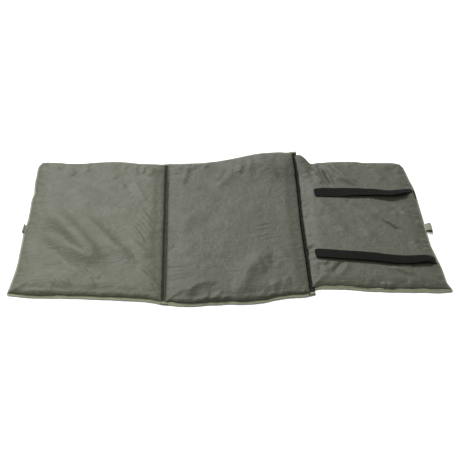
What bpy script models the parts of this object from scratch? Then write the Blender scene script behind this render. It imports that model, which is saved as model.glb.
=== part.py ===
"""Folding unhooking mat: three foam panels joined by two unpadded fold strips, bound edge, two elastic bands, two peg loops.

Lies flat on Z = 0, long side along X, top face up. Metres.
"""

import math

import bmesh
import bpy
from mathutils import Vector

MM = 0.001

# ---- driving dimensions, millimetres, X counted from the left-hand edge ----
LENGTH = 1000.0           # bound edge to bound edge
WIDTH = 540.0             # left and middle panels, and both fold strips
WIDTH_RIGHT = 508.0       # the right-hand panel is cut narrower

FOLD_LL = 343.0           # left fold strip, stitch line on the left panel
FOLD_LM = 359.0           # left fold strip, stitch line on the middle panel
FOLD_RM = 685.0           # right fold strip, stitch line on the middle panel
FOLD_RR = 699.0           # right fold strip, stitch line on the right panel

SEAM_Z = 5.0              # height of the plane where top and bottom cloth are sewn together
TOP_Z = 12.8              # top of a panel
CLOTH = 0.6               # thickness of the coated nylon
GAP = 0.3                 # clearance between touching pieces

BINDING = 8.5             # visible width of the edge binding
BINDING_T = 0.7           # thickness of the binding tape
FLANGE_IN = 1.0           # cloth edge, inside the folded tape
STITCH_IN = 9.5           # pad starts here, measured from the outer edge
END_CLOTH = 1.1           # cloth stops this far from a fold's stitch line
END_BINDING = 2.1         # binding stops this far from it
THREAD_R = 0.6            # radius of a row of stitching

FOAM_IN = 8.0             # foam stops this far inside the stitching
FOAM_EDGE = 4.0           # rounding of the foam's edges

CORNER = 11.0             # outer corner radius of the bound edge
CORNER_IN = 2.0           # corner radius beside a fold

BAND_W = 38.0             # elastic band
BAND_T = 1.6
BAND_RISE = 6.5           # how far the slack band stands off the panel
BAND_TAB = 14.0           # sewn end on the panel
BAND_END = 968.0          # where the band reaches the outer shoulder
BAND_BACK_Y, BAND_BACK_X = 110.0, 734.0
BAND_FRONT_Y, BAND_FRONT_X = -150.0, 708.0

LOOP_Y = -22.0            # peg loops, 25 mm webbing
LOOP_W = 25.0
LOOP_AXIS = 1.6           # hinge line, outside the bound edge
LOOP_TIP_R = 1.3
LOOP_FAR = 12.9           # centre of the loop's round end, outside the edge
LOOP_R = 4.4
LOOP_WALL = 1.1

# height of the padded shoulder, as shares, against the distance from the stitching in mm
SHOULDER_TOP = ((0.0, 0.0), (1.2, 0.34), (3.0, 0.62), (6.0, 0.86), (9.0, 0.96), (12.0, 1.0))
SHOULDER_LOW = ((0.0, 0.0), (1.5, 0.40), (4.0, 0.74), (8.0, 0.95), (12.0, 1.0))


# ---- scene ----
for old in list(bpy.data.objects):
    bpy.data.objects.remove(old, do_unlink=True)

PARTS = bpy.data.collections.new("unhooking_mat")
CUTTERS = bpy.data.collections.new("cutters")
bpy.context.scene.collection.children.link(PARTS)
bpy.context.scene.collection.children.link(CUTTERS)


def material(name, colour, roughness, metallic=0.0):
    mat = bpy.data.materials.new(name)
    mat.use_nodes = True
    shader = mat.node_tree.nodes["Principled BSDF"]
    shader.inputs["Base Color"].default_value = (*colour, 1.0)
    shader.inputs["Roughness"].default_value = roughness
    shader.inputs["Metallic"].default_value = metallic
    mat.diffuse_color = (*colour, 1.0)
    return mat


CLOTH_TOP = material("cover_cloth", (0.160, 0.165, 0.138), 0.55)
CLOTH_LOW = material("base_cloth", (0.105, 0.110, 0.092), 0.65)
CLOTH_FOLD = material("fold_cloth", (0.120, 0.124, 0.104), 0.60)
TAPE = material("binding_tape", (0.225, 0.240, 0.150), 0.80)
THREAD = material("thread", (0.060, 0.064, 0.048), 0.70)
FOAM = material("foam", (0.420, 0.420, 0.400), 0.95)
ELASTIC = material("elastic", (0.012, 0.012, 0.011), 0.80)
WEBBING = material("webbing", (0.190, 0.200, 0.140), 0.75)


# ---- frames: one empty on each joint's axis ----
def frame(name, x, y, z, parent=None):
    """An empty at a place given in mm from the left-hand edge, the centre line and the ground."""
    empty = bpy.data.objects.new(name, None)
    empty.empty_display_size = 0.02
    PARTS.objects.link(empty)
    empty["world"] = ((x - LENGTH / 2) * MM, y * MM, z * MM)
    here = Vector(empty["world"])
    empty.parent = parent
    empty.location = here - (Vector(parent["world"]) if parent else Vector())
    return empty


LEFT = frame("frame_left_panel", 0.0, 0.0, SEAM_Z)
STRIP_L = frame("axis_left_fold", FOLD_LL, 0.0, SEAM_Z, LEFT)
MIDDLE = frame("axis_left_fold_middle", FOLD_LM, 0.0, SEAM_Z, STRIP_L)
STRIP_R = frame("axis_right_fold", FOLD_RM, 0.0, SEAM_Z, MIDDLE)
RIGHT = frame("axis_right_fold_outer", FOLD_RR, 0.0, SEAM_Z, STRIP_R)
BAND_B = frame("axis_band_back", (BAND_BACK_X + BAND_END) / 2, BAND_BACK_Y, TOP_Z, RIGHT)
BAND_F = frame("axis_band_front", (BAND_FRONT_X + BAND_END) / 2, BAND_FRONT_Y, TOP_Z, RIGHT)
LOOP_L = frame("axis_peg_loop_left", -LOOP_AXIS, LOOP_Y, SEAM_Z, LEFT)
LOOP_RT = frame("axis_peg_loop_right", LENGTH + LOOP_AXIS, LOOP_Y, SEAM_Z, RIGHT)


def finish(bm, name, body, mat, smooth=True):
    """Writes a mesh drawn in mat coordinates (mm) as an object whose origin is its body's frame."""
    origin = Vector(body["world"])
    for v in bm.verts:
        v.co = Vector(((v.co.x - LENGTH / 2) * MM, v.co.y * MM, v.co.z * MM)) - origin
    mesh = bpy.data.meshes.new(name)
    bm.to_mesh(mesh)
    bm.free()
    mesh.materials.append(mat)
    if smooth:
        mesh.shade_smooth()
        mesh.set_sharp_from_angle(angle=math.radians(40))
    obj = bpy.data.objects.new(name, mesh)
    PARTS.objects.link(obj)
    obj.parent = body
    return obj


def cutter(bm, name, body):
    obj = finish(bm, name, body, THREAD, smooth=False)
    PARTS.objects.unlink(obj)
    CUTTERS.objects.link(obj)
    obj.hide_render = True
    obj.display_type = "WIRE"
    return obj


def cut(obj, tool):
    mod = obj.modifiers.new("cut_" + tool.name, "BOOLEAN")
    mod.operation = "DIFFERENCE"
    mod.solver = "EXACT"
    mod.object = tool


def block(x0, x1, y0, y1, z0, z1):
    bm = bmesh.new()
    bmesh.ops.create_cube(bm, size=1.0)
    for v in bm.verts:
        v.co = Vector(
            (
                (x0 + x1) / 2 + v.co.x * (x1 - x0),
                (y0 + y1) / 2 + v.co.y * (y1 - y0),
                (z0 + z1) / 2 + v.co.z * (z1 - z0),
            )
        )
    return bm


def outline(x0, x1, y0, y1, radii, steps=3):
    """Rounded rectangle, anticlockwise from the front-left corner; radii front-left, front-right, back-right, back-left."""
    points = []
    for n, (cx, cy, sx, sy) in enumerate(
        ((x0, y0, 1, 1), (x1, y0, -1, 1), (x1, y1, -1, -1), (x0, y1, 1, -1))
    ):
        r = radii[n]
        if r <= 0:
            points.append((cx, cy))
            continue
        start = math.pi + n * math.pi / 2
        for k in range(steps + 1):
            a = start + k / steps * math.pi / 2
            points.append((cx + sx * r + r * math.cos(a), cy + sy * r + r * math.sin(a)))
    return points


def slab(points, z0, z1):
    """A flat plate with that outline, extruded upwards."""
    bm = bmesh.new()
    face = bm.faces.new([bm.verts.new((x, y, z0)) for x, y in points])
    face.normal_update()
    if face.normal.z > 0:
        face.normal_flip()
    grown = bmesh.ops.extrude_face_region(bm, geom=[face])
    for v in grown["geom"]:
        if isinstance(v, bmesh.types.BMVert):
            v.co.z = z1
    bmesh.ops.recalc_face_normals(bm, faces=bm.faces)
    return bm


# ---- panels ----
def cover(name, body, x0, x1, half, ends, up, mat):
    """One panel's share of the top (up=1) or bottom (up=-1) cloth: flange, padded shoulder, flat middle.

    ends says for the left and right side whether it is an outer edge (True) or a fold (False).
    """
    left_edge = FLANGE_IN if ends[0] else END_CLOTH
    right_edge = FLANGE_IN if ends[1] else END_CLOTH
    left_pad = STITCH_IN if ends[0] else END_CLOTH + 0.5
    right_pad = STITCH_IN if ends[1] else END_CLOTH + 0.5
    corner = [
        CORNER if ends[0] else CORNER_IN,
        CORNER if ends[1] else CORNER_IN,
        CORNER if ends[1] else CORNER_IN,
        CORNER if ends[0] else CORNER_IN,
    ]
    flange_z = SEAM_Z + up * (GAP / 2 + CLOTH)
    crown_z = TOP_Z if up > 0 else 0.0
    table = SHOULDER_TOP if up > 0 else SHOULDER_LOW
    rings = [
        (
            (x0 + left_edge, x1 - right_edge, -half + FLANGE_IN, half - FLANGE_IN),
            [max(r - FLANGE_IN, 1.0) for r in corner],
            flange_z,
        )
    ]
    for inset, share in table:
        rings.append(
            (
                (
                    x0 + left_pad + inset,
                    x1 - right_pad - inset,
                    -half + STITCH_IN + inset,
                    half - STITCH_IN - inset,
                ),
                [max(r - 6.0, 1.5) + 0.5 * inset for r in corner],
                flange_z + share * (crown_z - flange_z),
            )
        )
    bm = bmesh.new()
    loops = []
    for (rx0, rx1, ry0, ry1), radii, z in rings:
        verts = [bm.verts.new((x, y, z)) for x, y in outline(rx0, rx1, ry0, ry1, radii)]
        loops.append([bm.edges.new((a, b)) for a, b in zip(verts, verts[1:] + verts[:1])])
    for inner, outer in zip(loops[1:], loops[:-1]):
        bmesh.ops.bridge_loops(bm, edges=inner + outer)
    bmesh.ops.contextual_create(bm, geom=loops[-1])
    bmesh.ops.recalc_face_normals(bm, faces=bm.faces)
    crown = max(bm.faces, key=lambda f: f.calc_area())
    crown.normal_update()
    if crown.normal.z * up < 0:
        bmesh.ops.reverse_faces(bm, faces=bm.faces)
    obj = finish(bm, name, body, mat)
    shell = obj.modifiers.new("cloth", "SOLIDIFY")
    shell.thickness = CLOTH * MM
    shell.offset = -1.0
    shell.use_even_offset = True
    return obj


def foam(name, body, x0, x1, half, ends):
    left = (STITCH_IN if ends[0] else END_CLOTH + 0.5) + FOAM_IN
    right = (STITCH_IN if ends[1] else END_CLOTH + 0.5) + FOAM_IN
    bm = block(
        x0 + left,
        x1 - right,
        -half + STITCH_IN + FOAM_IN,
        half - STITCH_IN - FOAM_IN,
        CLOTH + GAP,
        TOP_Z - CLOTH - GAP,
    )
    obj = finish(bm, name, body, FOAM)
    edge = obj.modifiers.new("cut_edge", "BEVEL")
    edge.width = FOAM_EDGE * MM
    edge.segments = 3
    edge.limit_method = "ANGLE"
    return obj


def thread(name, body, x, half):
    """A row of stitching along a fold, drawn as one cord on the fold's axis."""
    curve = bpy.data.curves.new(name, "CURVE")
    curve.dimensions = "3D"
    curve.bevel_depth = THREAD_R * MM
    curve.bevel_resolution = 2
    curve.use_fill_caps = True
    spline = curve.splines.new("POLY")
    spline.points.add(1)
    origin = Vector(body["world"])
    for point, y in zip(spline.points, (-half, half)):
        place = Vector(((x - LENGTH / 2) * MM, y * MM, SEAM_Z * MM)) - origin
        point.co = (*place, 1.0)
    curve.materials.append(THREAD)
    obj = bpy.data.objects.new(name, curve)
    PARTS.objects.link(obj)
    obj.parent = body
    return obj


TAPE_Z0 = SEAM_Z - GAP / 2 - CLOTH - GAP - BINDING_T
TAPE_Z1 = SEAM_Z + GAP / 2 + CLOTH + GAP + BINDING_T


def end_binding(name, body, x0, x1, half, outer_is_left):
    """Tape folded over three sides of an end panel: a plate, less the pad's space and the slot for the cloth."""
    if outer_is_left:
        xs, corner = (x0, x1 - END_BINDING), (CORNER, 0, 0, CORNER)
        slot, hole = (x0 + BINDING_T, x1 + 5), (x0 + BINDING, x1 + 5)
        soft = (CORNER - BINDING_T, 0, 0, CORNER - BINDING_T)
        tight = (CORNER - 6, 0, 0, CORNER - 6)
    else:
        xs, corner = (x0 + END_BINDING, x1), (0, CORNER, CORNER, 0)
        slot, hole = (x0 - 5, x1 - BINDING_T), (x0 - 5, x1 - BINDING)
        soft = (0, CORNER - BINDING_T, CORNER - BINDING_T, 0)
        tight = (0, CORNER - 6, CORNER - 6, 0)
    tape = finish(
        slab(outline(*xs, -half, half, corner, steps=5), TAPE_Z0, TAPE_Z1), name, body, TAPE
    )
    hole_tool = slab(
        outline(*hole, -half + BINDING, half - BINDING, tight, steps=5), TAPE_Z0 - 2, TAPE_Z1 + 2
    )
    slot_tool = slab(
        outline(*slot, -half + BINDING_T, half - BINDING_T, soft, steps=5),
        TAPE_Z0 + BINDING_T,
        TAPE_Z1 - BINDING_T,
    )
    cut(tape, cutter(hole_tool, name + "_pad_space", body))
    cut(tape, cutter(slot_tool, name + "_cloth_slot", body))
    return tape


def side_binding(name, body, x0, x1, half, side):
    """Straight tape along the front (side=-1) or back (side=1) edge."""
    y_out, y_in = side * half, side * (half - BINDING)
    tape = finish(
        block(x0 + END_BINDING, x1 - END_BINDING, min(y_out, y_in), max(y_out, y_in), TAPE_Z0, TAPE_Z1),
        name,
        body,
        TAPE,
    )
    s_out, s_in = side * (half - BINDING_T), side * (half - BINDING - 5)
    slot = block(
        x0 - 5, x1 + 5, min(s_out, s_in), max(s_out, s_in), TAPE_Z0 + BINDING_T, TAPE_Z1 - BINDING_T
    )
    cut(tape, cutter(slot, name + "_cloth_slot", body))
    return tape


def web(name, body, x0, x1, half, up):
    """One layer of the unpadded cloth between two rows of stitching."""
    bm = bmesh.new()
    bmesh.ops.create_grid(bm, x_segments=1, y_segments=1, size=0.5)
    z = SEAM_Z + up * (GAP / 2 + CLOTH)
    for v in bm.verts:
        v.co = Vector(
            (
                (x0 + x1) / 2 + v.co.x * (x1 - x0 - 2 * END_CLOTH),
                v.co.y * 2 * (half - FLANGE_IN),
                z,
            )
        )
    if up < 0:
        bmesh.ops.reverse_faces(bm, faces=bm.faces)
    obj = finish(bm, name, body, CLOTH_FOLD, smooth=False)
    shell = obj.modifiers.new("cloth", "SOLIDIFY")
    shell.thickness = CLOTH * MM
    shell.offset = -1.0
    return obj


HALF, HALF_R = WIDTH / 2, WIDTH_RIGHT / 2

foam("foam_core_left", LEFT, 0.0, FOLD_LL, HALF, (True, False))
cover("top_cover_left", LEFT, 0.0, FOLD_LL, HALF, (True, False), 1, CLOTH_TOP)
cover("bottom_cover_left", LEFT, 0.0, FOLD_LL, HALF, (True, False), -1, CLOTH_LOW)
end_binding("edge_binding_left", LEFT, 0.0, FOLD_LL, HALF, True)
thread("fold_seam_left_outer", LEFT, FOLD_LL, HALF - FLANGE_IN)

foam("foam_core_middle", MIDDLE, FOLD_LM, FOLD_RM, HALF, (False, False))
cover("top_cover_middle", MIDDLE, FOLD_LM, FOLD_RM, HALF, (False, False), 1, CLOTH_TOP)
cover("bottom_cover_middle", MIDDLE, FOLD_LM, FOLD_RM, HALF, (False, False), -1, CLOTH_LOW)
side_binding("edge_binding_middle_front", MIDDLE, FOLD_LM, FOLD_RM, HALF, -1)
side_binding("edge_binding_middle_back", MIDDLE, FOLD_LM, FOLD_RM, HALF, 1)
thread("fold_seam_left_inner", MIDDLE, FOLD_LM, HALF - FLANGE_IN)
thread("fold_seam_right_inner", MIDDLE, FOLD_RM, HALF - FLANGE_IN)

foam("foam_core_right", RIGHT, FOLD_RR, LENGTH, HALF_R, (False, True))
cover("top_cover_right", RIGHT, FOLD_RR, LENGTH, HALF_R, (False, True), 1, CLOTH_TOP)
cover("bottom_cover_right", RIGHT, FOLD_RR, LENGTH, HALF_R, (False, True), -1, CLOTH_LOW)
end_binding("edge_binding_right", RIGHT, FOLD_RR, LENGTH, HALF_R, False)
thread("fold_seam_right_outer", RIGHT, FOLD_RR, HALF_R - FLANGE_IN)

for side, body, x0, x1 in (("left", STRIP_L, FOLD_LL, FOLD_LM), ("right", STRIP_R, FOLD_RM, FOLD_RR)):
    web(f"fold_strip_{side}_top", body, x0, x1, HALF, 1)
    web(f"fold_strip_{side}_bottom", body, x0, x1, HALF, -1)
    side_binding(f"strip_binding_{side}_front", body, x0, x1, HALF, -1)
    side_binding(f"strip_binding_{side}_back", body, x0, x1, HALF, 1)


# ---- elastic bands ----
def ribbon(name, body, y, stations, mat):
    """A flat strip of elastic along X; stations are (x, height of its underside)."""
    bm = bmesh.new()
    bmesh.ops.create_grid(bm, x_segments=len(stations) - 1, y_segments=1, size=0.5)
    columns = sorted({round(v.co.x, 6) for v in bm.verts})
    for v in bm.verts:
        x, z = stations[columns.index(round(v.co.x, 6))]
        v.co = Vector((x, y + v.co.y * BAND_W, z))
    obj = finish(bm, name, body, mat)
    shell = obj.modifiers.new("elastic", "SOLIDIFY")
    shell.thickness = BAND_T * MM
    shell.offset = 1.0
    return obj


REST_Z = TOP_Z + GAP


def band(name, slide, y, x_tab):
    x0, x1 = x_tab + BAND_TAB + GAP, BAND_END - GAP
    ribbon(f"{name}_sewn_end", RIGHT, y, [(x_tab, REST_Z), (x_tab + BAND_TAB, REST_Z)], ELASTIC)
    steps = 24
    arch = []
    for k in range(steps + 1):
        s = k / steps
        arch.append((x0 + s * (x1 - x0), REST_Z + BAND_RISE * math.sin(math.pi * s) ** 1.5))
    ribbon(name, slide, y, arch, ELASTIC)
    # over the outer shoulder and down on to the binding, where it is sewn in
    lip = TAPE_Z1 + GAP
    fall = [(BAND_END, REST_Z)]
    edge = LENGTH - STITCH_IN
    fall += [
        (edge - 12.0, REST_Z),
        (edge - 8.7, REST_Z - 0.1),
        (edge - 5.6, REST_Z - 0.75),
        (edge - 2.2, REST_Z - 2.2),
        (edge + 0.7, lip + 0.35),
        (edge + 1.7, lip),
        (LENGTH - 1.0, lip),
    ]
    ribbon(f"{name}_outer_end", RIGHT, y, fall, ELASTIC)


band("band_back", BAND_B, BAND_BACK_Y, BAND_BACK_X)
band("band_front", BAND_F, BAND_FRONT_Y, BAND_FRONT_X)


# ---- peg loops ----
def capsule(c0, r0, c1, r1, steps=8):
    """Outline round two circles on one level: (x, z) points, anticlockwise."""
    run = abs(c1 - c0)
    lean = math.asin((r1 - r0) / run)
    way = 1 if c1 > c0 else -1
    points = []
    for k in range(steps + 1):
        a = -math.pi / 2 - lean + k / steps * (math.pi + 2 * lean)
        points.append((c1 + way * r1 * math.cos(a), SEAM_Z + r1 * math.sin(a)))
    for k in range(steps // 2 + 1):
        a = math.pi / 2 + lean + k / (steps // 2) * (math.pi - 2 * lean)
        points.append((c0 + way * r0 * math.cos(a), SEAM_Z + r0 * math.sin(a)))
    return points


def prism(points, y0, y1):
    bm = bmesh.new()
    face = bm.faces.new([bm.verts.new((x, y0, z)) for x, z in points])
    grown = bmesh.ops.extrude_face_region(bm, geom=[face])
    for v in grown["geom"]:
        if isinstance(v, bmesh.types.BMVert):
            v.co.y = y1
    bmesh.ops.recalc_face_normals(bm, faces=bm.faces)
    return bm


def peg_loop(name, body, edge, way):
    """Webbing doubled back on itself: solid where the two layers are tacked together, open beyond."""
    y0, y1 = LOOP_Y - LOOP_W / 2, LOOP_Y + LOOP_W / 2
    far = edge + way * LOOP_FAR
    obj = finish(
        prism(capsule(edge + way * LOOP_AXIS, LOOP_TIP_R, far, LOOP_R, 12), y0, y1), name, body, WEBBING
    )
    eye = prism(
        capsule(edge + way * (LOOP_AXIS + 5.0), 0.7, far, LOOP_R - LOOP_WALL, 12), y0 - 3, y1 + 3
    )
    cut(obj, cutter(eye, name + "_eye", body))
    return obj


peg_loop("peg_loop_left", LOOP_L, 0.0, -1)
peg_loop("peg_loop_right", LOOP_RT, LENGTH, 1)
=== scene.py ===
import math

import bmesh
import bpy
import numpy as np
from mathutils import Matrix, Vector
from mathutils.bvhtree import BVHTree

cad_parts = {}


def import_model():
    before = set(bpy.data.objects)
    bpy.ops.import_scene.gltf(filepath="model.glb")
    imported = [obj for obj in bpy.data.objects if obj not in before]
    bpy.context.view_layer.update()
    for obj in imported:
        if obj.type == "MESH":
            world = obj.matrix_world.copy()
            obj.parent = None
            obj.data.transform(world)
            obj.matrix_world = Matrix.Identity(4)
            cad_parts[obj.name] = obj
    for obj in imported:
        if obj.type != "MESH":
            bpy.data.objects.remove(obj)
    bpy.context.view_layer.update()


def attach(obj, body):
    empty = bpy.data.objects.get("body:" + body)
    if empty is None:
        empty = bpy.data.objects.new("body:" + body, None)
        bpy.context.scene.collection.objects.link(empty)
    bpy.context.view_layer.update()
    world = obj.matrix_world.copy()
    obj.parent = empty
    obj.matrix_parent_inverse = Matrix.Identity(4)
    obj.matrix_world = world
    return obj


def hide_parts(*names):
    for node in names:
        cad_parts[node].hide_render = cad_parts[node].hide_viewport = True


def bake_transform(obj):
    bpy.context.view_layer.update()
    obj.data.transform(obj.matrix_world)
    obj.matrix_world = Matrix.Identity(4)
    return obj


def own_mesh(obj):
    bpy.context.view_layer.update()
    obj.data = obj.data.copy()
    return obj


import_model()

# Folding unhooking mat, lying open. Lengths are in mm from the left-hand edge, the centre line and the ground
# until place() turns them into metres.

MM = 0.001

LENGTH, HALF, HALF_R = 1000.0, 270.0, 254.0
FOLD_LL, FOLD_LM, FOLD_RM, FOLD_RR = 343.0, 359.0, 685.0, 699.0
SEAM_Z, TOP_Z = 5.0, 12.8
STITCH_IN = 9.0


# ---- small numeric tools ----
def smooth(t):
    t = np.clip(t, 0.0, 1.0)
    return t * t * (3.0 - 2.0 * t)


def eased(points, soft=10.0):
    """A smooth function of one number, led by a few (position, value) pairs."""
    step = 2.0
    grid = np.arange(-500.0, 1501.0, step)
    px, pv = np.array(points, float).T
    v = np.interp(grid, px, pv)
    n = int(round(3 * soft / step))
    k = np.exp(-0.5 * (np.arange(-n, n + 1) * step / soft) ** 2)
    v = np.convolve(np.pad(v, n, mode="edge"), k / k.sum(), mode="valid")
    return lambda q: np.interp(q, grid, v)


def lattice(ix, iy, seed):
    h = (ix * 374761393 + iy * 668265263 + seed * 974634777) & 0xFFFFFFFF
    h = ((h ^ (h >> 13)) * 1274126177) & 0xFFFFFFFF
    return ((h ^ (h >> 16)) & 0xFFFF) / 32767.5 - 1.0


def noise(x, y, seed=0):
    """Smooth random field from -1 to 1, one bump per unit."""
    x, y = np.asarray(x, float), np.asarray(y, float)
    x, y = np.broadcast_arrays(x, y)
    ix, iy = np.floor(x).astype(np.int64), np.floor(y).astype(np.int64)
    fx, fy = x - ix, y - iy
    fx = fx**3 * (fx * (fx * 6 - 15) + 10)
    fy = fy**3 * (fy * (fy * 6 - 15) + 10)
    a, b = lattice(ix, iy, seed), lattice(ix + 1, iy, seed)
    c, d = lattice(ix, iy + 1, seed), lattice(ix + 1, iy + 1, seed)
    return (a * (1 - fx) + b * fx) * (1 - fy) + (c * (1 - fx) + d * fx) * fy


def layered(x, y, seed=0, octaves=3):
    total, amp, size = 0.0, 1.0, 0.0
    for k in range(octaves):
        total = total + amp * noise(x * 2**k + 17.3 * k, y * 2**k - 9.1 * k, seed + 31 * k)
        size += amp
        amp *= 0.5
    return total / size


# ---- how the open mat lies ----
FRONT_OFF = eased(
    [(0, 5), (36, 4), (89, 2), (161, -1), (228, -5), (291, -10), (322, -14), (345, -20), (371, -23), (407, -24),
     (438, -24), (519, -24), (555, -21.5), (587, -15), (615, -8), (634, -4), (664, -1), (685, 4), (701, 6),
     (743, 8.5), (811, 1), (880, -3), (959, -4), (1000, -2)],
    8,
)
BACK_OFF = eased(
    [(0, -4), (40, -4), (73, -8), (122, -4), (170, 0), (236, -4), (285, -8), (334, -11), (383, -8), (432, -4),
     (482, 2), (516, 5), (549, 8), (583, 11), (601, 13), (650, 15), (685, 15.5), (713, 15), (722, 10), (732, 8),
     (747, 5), (798, 10), (854, 10), (924, 8), (982, 5), (1000, 4)],
    6,
)
BUCKLE = eased(
    [(440, 0), (482, 1), (516, 6.5), (549, 10.5), (583, 15.5), (601, 18.5), (625, 21), (650, 22.5), (685, 24.5),
     (702, 23.5), (714, 21.5), (723, 14), (733, 5), (745, 2), (800, 3.5), (900, 2.5), (965, 0)],
    5,
)
LEFT_OFF = eased(
    [(-270, -1), (-239, -1), (-200, 3), (-160, 5), (-100, 4), (-40, 3), (10, 6.5), (57, 5.5), (90, 4), (110, 5),
     (125, 7), (140, 4), (180, 1), (233, -1), (270, 2)],
    7,
)
RIGHT_OFF = eased(
    [(-254, 5), (-224, 4), (-182, 4), (-139, 1), (-94, -1), (-47, 0), (1, 1), (60, 2.5), (138, 3.5), (175, 1),
     (212, -1), (254, -4)],
    10,
)
SEAM_OFF = eased(
    [(-266, -6), (-144, -3.5), (-69, -2), (10, -0.5), (60, 2), (110, 4.5), (150, 6), (184, 6), (230, 4.5), (265, 3.5)], 12
)
FRONT_FINE = eased(
    [(0, 8.8), (8, 8.8), (26, 6.3), (44, 4.1), (62, 3.5), (80, 4), (313, 3.2), (331, 2), (349, 0.5), (367, 1.4),
     (385, -1.3), (402, -3), (420, -2.8), (438, 0.6), (456, 3.2), (474, 2.6), (492, 4.7), (510, 4), (528, 2.8),
     (564, 1.4), (583, 0.5), (601, 3), (638, 3.6), (657, 2.6), (675, -0.5), (715, 5.6), (734, 3.9), (752, 3.9),
     (771, 5.2), (789, 4.7), (807, 3.2), (825, 2.4), (844, 3.5), (862, 1.7), (880, 2.5), (917, 1.3), (936, 2.3),
     (954, 0.6), (973, -0.7), (1000, 1.6)],
    4,
)
BACK_FINE = eased(
    [(0, 8.0), (15, 8.0), (36, 4.1), (58, 5.7), (80, 3.5), (101, 1.5), (123, -0.3), (144, 3.5), (166, 4.1),
     (187, 6), (209, 7), (231, 6.8), (253, 5), (274, 2.8), (296, 4), (318, 3.8), (340, 3), (361, 4.8), (383, 2.8),
     (405, 3.2), (427, 3), (449, 1.4), (471, 3.6), (493, 1.5), (515, 1.3), (538, 3), (560, 5.7), (583, 7.9),
     (606, 6.2), (629, 3.9), (651, 4.6), (674, -0.9), (696, 4.4), (717, 12.2), (735, -2.9), (757, 6.2), (780, 5),
     (803, 5.7), (825, 7.2), (847, 7.6), (869, 7.4), (891, 2.1), (913, 5), (936, 6.7), (958, 9.2), (1000, 9.6)],
    4,
)
LEFT_FINE = eased([(-270, -2.5), (107, -2.5), (125, -1.8), (180, -1.5), (200, 0), (270, 0)], 6)
RIGHT_FINE = eased(
    [(-254, 6), (-240, 7), (-227, 4), (-170, 5), (-111, 3), (-96, 1.7), (-65, 2), (15, 3.5), (32, 3.6), (50, 3.5),
     (83, 5), (136, 5.4), (172, 3.2), (228, 2.8), (254, 2.8)],
    6,
)
CORNERS = ((0, -HALF, 9.0), (0, HALF, 24.0), (LENGTH, HALF_R, 29.0), (LENGTH, -HALF_R, 8.0))
EARS = ((0, -HALF, -4.0, 0.0, 40.0), (LENGTH, -HALF_R, 6.0, -1.0, 36.0))


def lie(p):
    """Points of the flat mat, in mm, moved to where the open mat holds them."""
    x, y, z = (np.array(p[:, k], float) for k in range(3))
    for cx, cy, r in CORNERS:
        sx, sy = (1 if cx == 0 else -1), (1 if cy < 0 else -1)
        a, b = r - sx * (x - cx), r - sy * (y - cy)
        on = (a > 0) & (b > 0)
        aa, bb = np.clip(a, 0, r), np.clip(b, 0, r)
        na = aa * np.sqrt(1 - bb**2 / (2 * r * r))
        nb = bb * np.sqrt(1 - aa**2 / (2 * r * r))
        x = np.where(on, cx + sx * (r - na), x)
        y = np.where(on, cy + sy * (r - nb), y)
    for cx, cy, dx, dy, reach in EARS:
        w = np.clip(1 - np.hypot(x - cx, y - cy) / reach, 0, 1) ** 2
        x, y = x + dx * w, y + dy * w
    s = smooth((HALF - y) / (2 * HALF))
    dy = (FRONT_OFF(x) + FRONT_FINE(x)) * s + (BACK_OFF(x) + BACK_FINE(x)) * (1 - s)
    lines = [
        (0.0, LEFT_OFF(y) + LEFT_FINE(y)), (351.0, -1.5 + 0.0 * y), (692.0, SEAM_OFF(y)),
        (LENGTH, RIGHT_OFF(y) + RIGHT_FINE(y)),
    ]
    dx = np.zeros_like(x)
    for (xa, va), (xb, vb) in zip(lines, lines[1:]):
        t = smooth((x - xa) / (xb - xa))
        dx = np.where((x >= xa) & (x <= xb), va * (1 - t) + vb * t, dx)
    dx = np.where(x < 0, lines[0][1], np.where(x > LENGTH, lines[-1][1], dx))
    # the sewn edge rests on the ground, the pad stands behind it
    out = np.minimum(np.minimum(x, LENGTH - x), np.where(x > FOLD_RM, HALF_R + 8.0, HALF) - np.abs(y))
    sink = 3.1 * (1 - smooth((out - 9.0) / 20.0))
    low = z * (SEAM_Z - sink) / SEAM_Z
    high = TOP_Z - (TOP_Z - z) * (TOP_Z - SEAM_Z + sink) / (TOP_Z - SEAM_Z)
    z = np.where(z <= SEAM_Z, low, np.where(z < TOP_Z, high, z))
    up = BUCKLE(x) * smooth((y - 128.0) / 138.0)
    edge = np.exp(-np.maximum(0.0, HALF - np.abs(y)) / 22.0)
    up = up + 0.5 * edge * (1 + layered(x / 55.0, np.sign(y) * 3.0, 5, 2))
    z2 = z + up
    z2 = np.where(z2 > 26.0, 26.0 + 5.3 * np.tanh((z2 - 26.0) / 5.3), z2)
    ripple = 0.9 * edge * layered(x / 42.0, np.sign(y) * 2.0, 11, 2)
    return np.stack([x + dx, y + dy + ripple, z2], 1)


def place(p):
    """Flat-mat millimetres to metres in the shared frame."""
    q = lie(np.asarray(p, float))
    # the outermost waves of the tape are eased in so they reach little past 293.5 mm in
    # front; the outermost waves of the tape stay within the room that cloth may take
    q[:, 1] = np.where(q[:, 1] < -293.5, -293.5 + 2.4 * np.tanh((q[:, 1] + 293.5) / 2.4), q[:, 1])
    return np.stack([(q[:, 0] - LENGTH / 2) * MM, q[:, 1] * MM, q[:, 2] * MM], 1)


def place_bare(p):
    """For things laid over the mat: millimetres as they are."""
    q = np.asarray(p, float)
    return np.stack([(q[:, 0] - LENGTH / 2) * MM, q[:, 1] * MM, q[:, 2] * MM], 1)


def world(x, y, z):
    """One point of the shared frame, in metres, from mm."""
    return ((x - LENGTH / 2) * MM, y * MM, z * MM)


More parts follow.
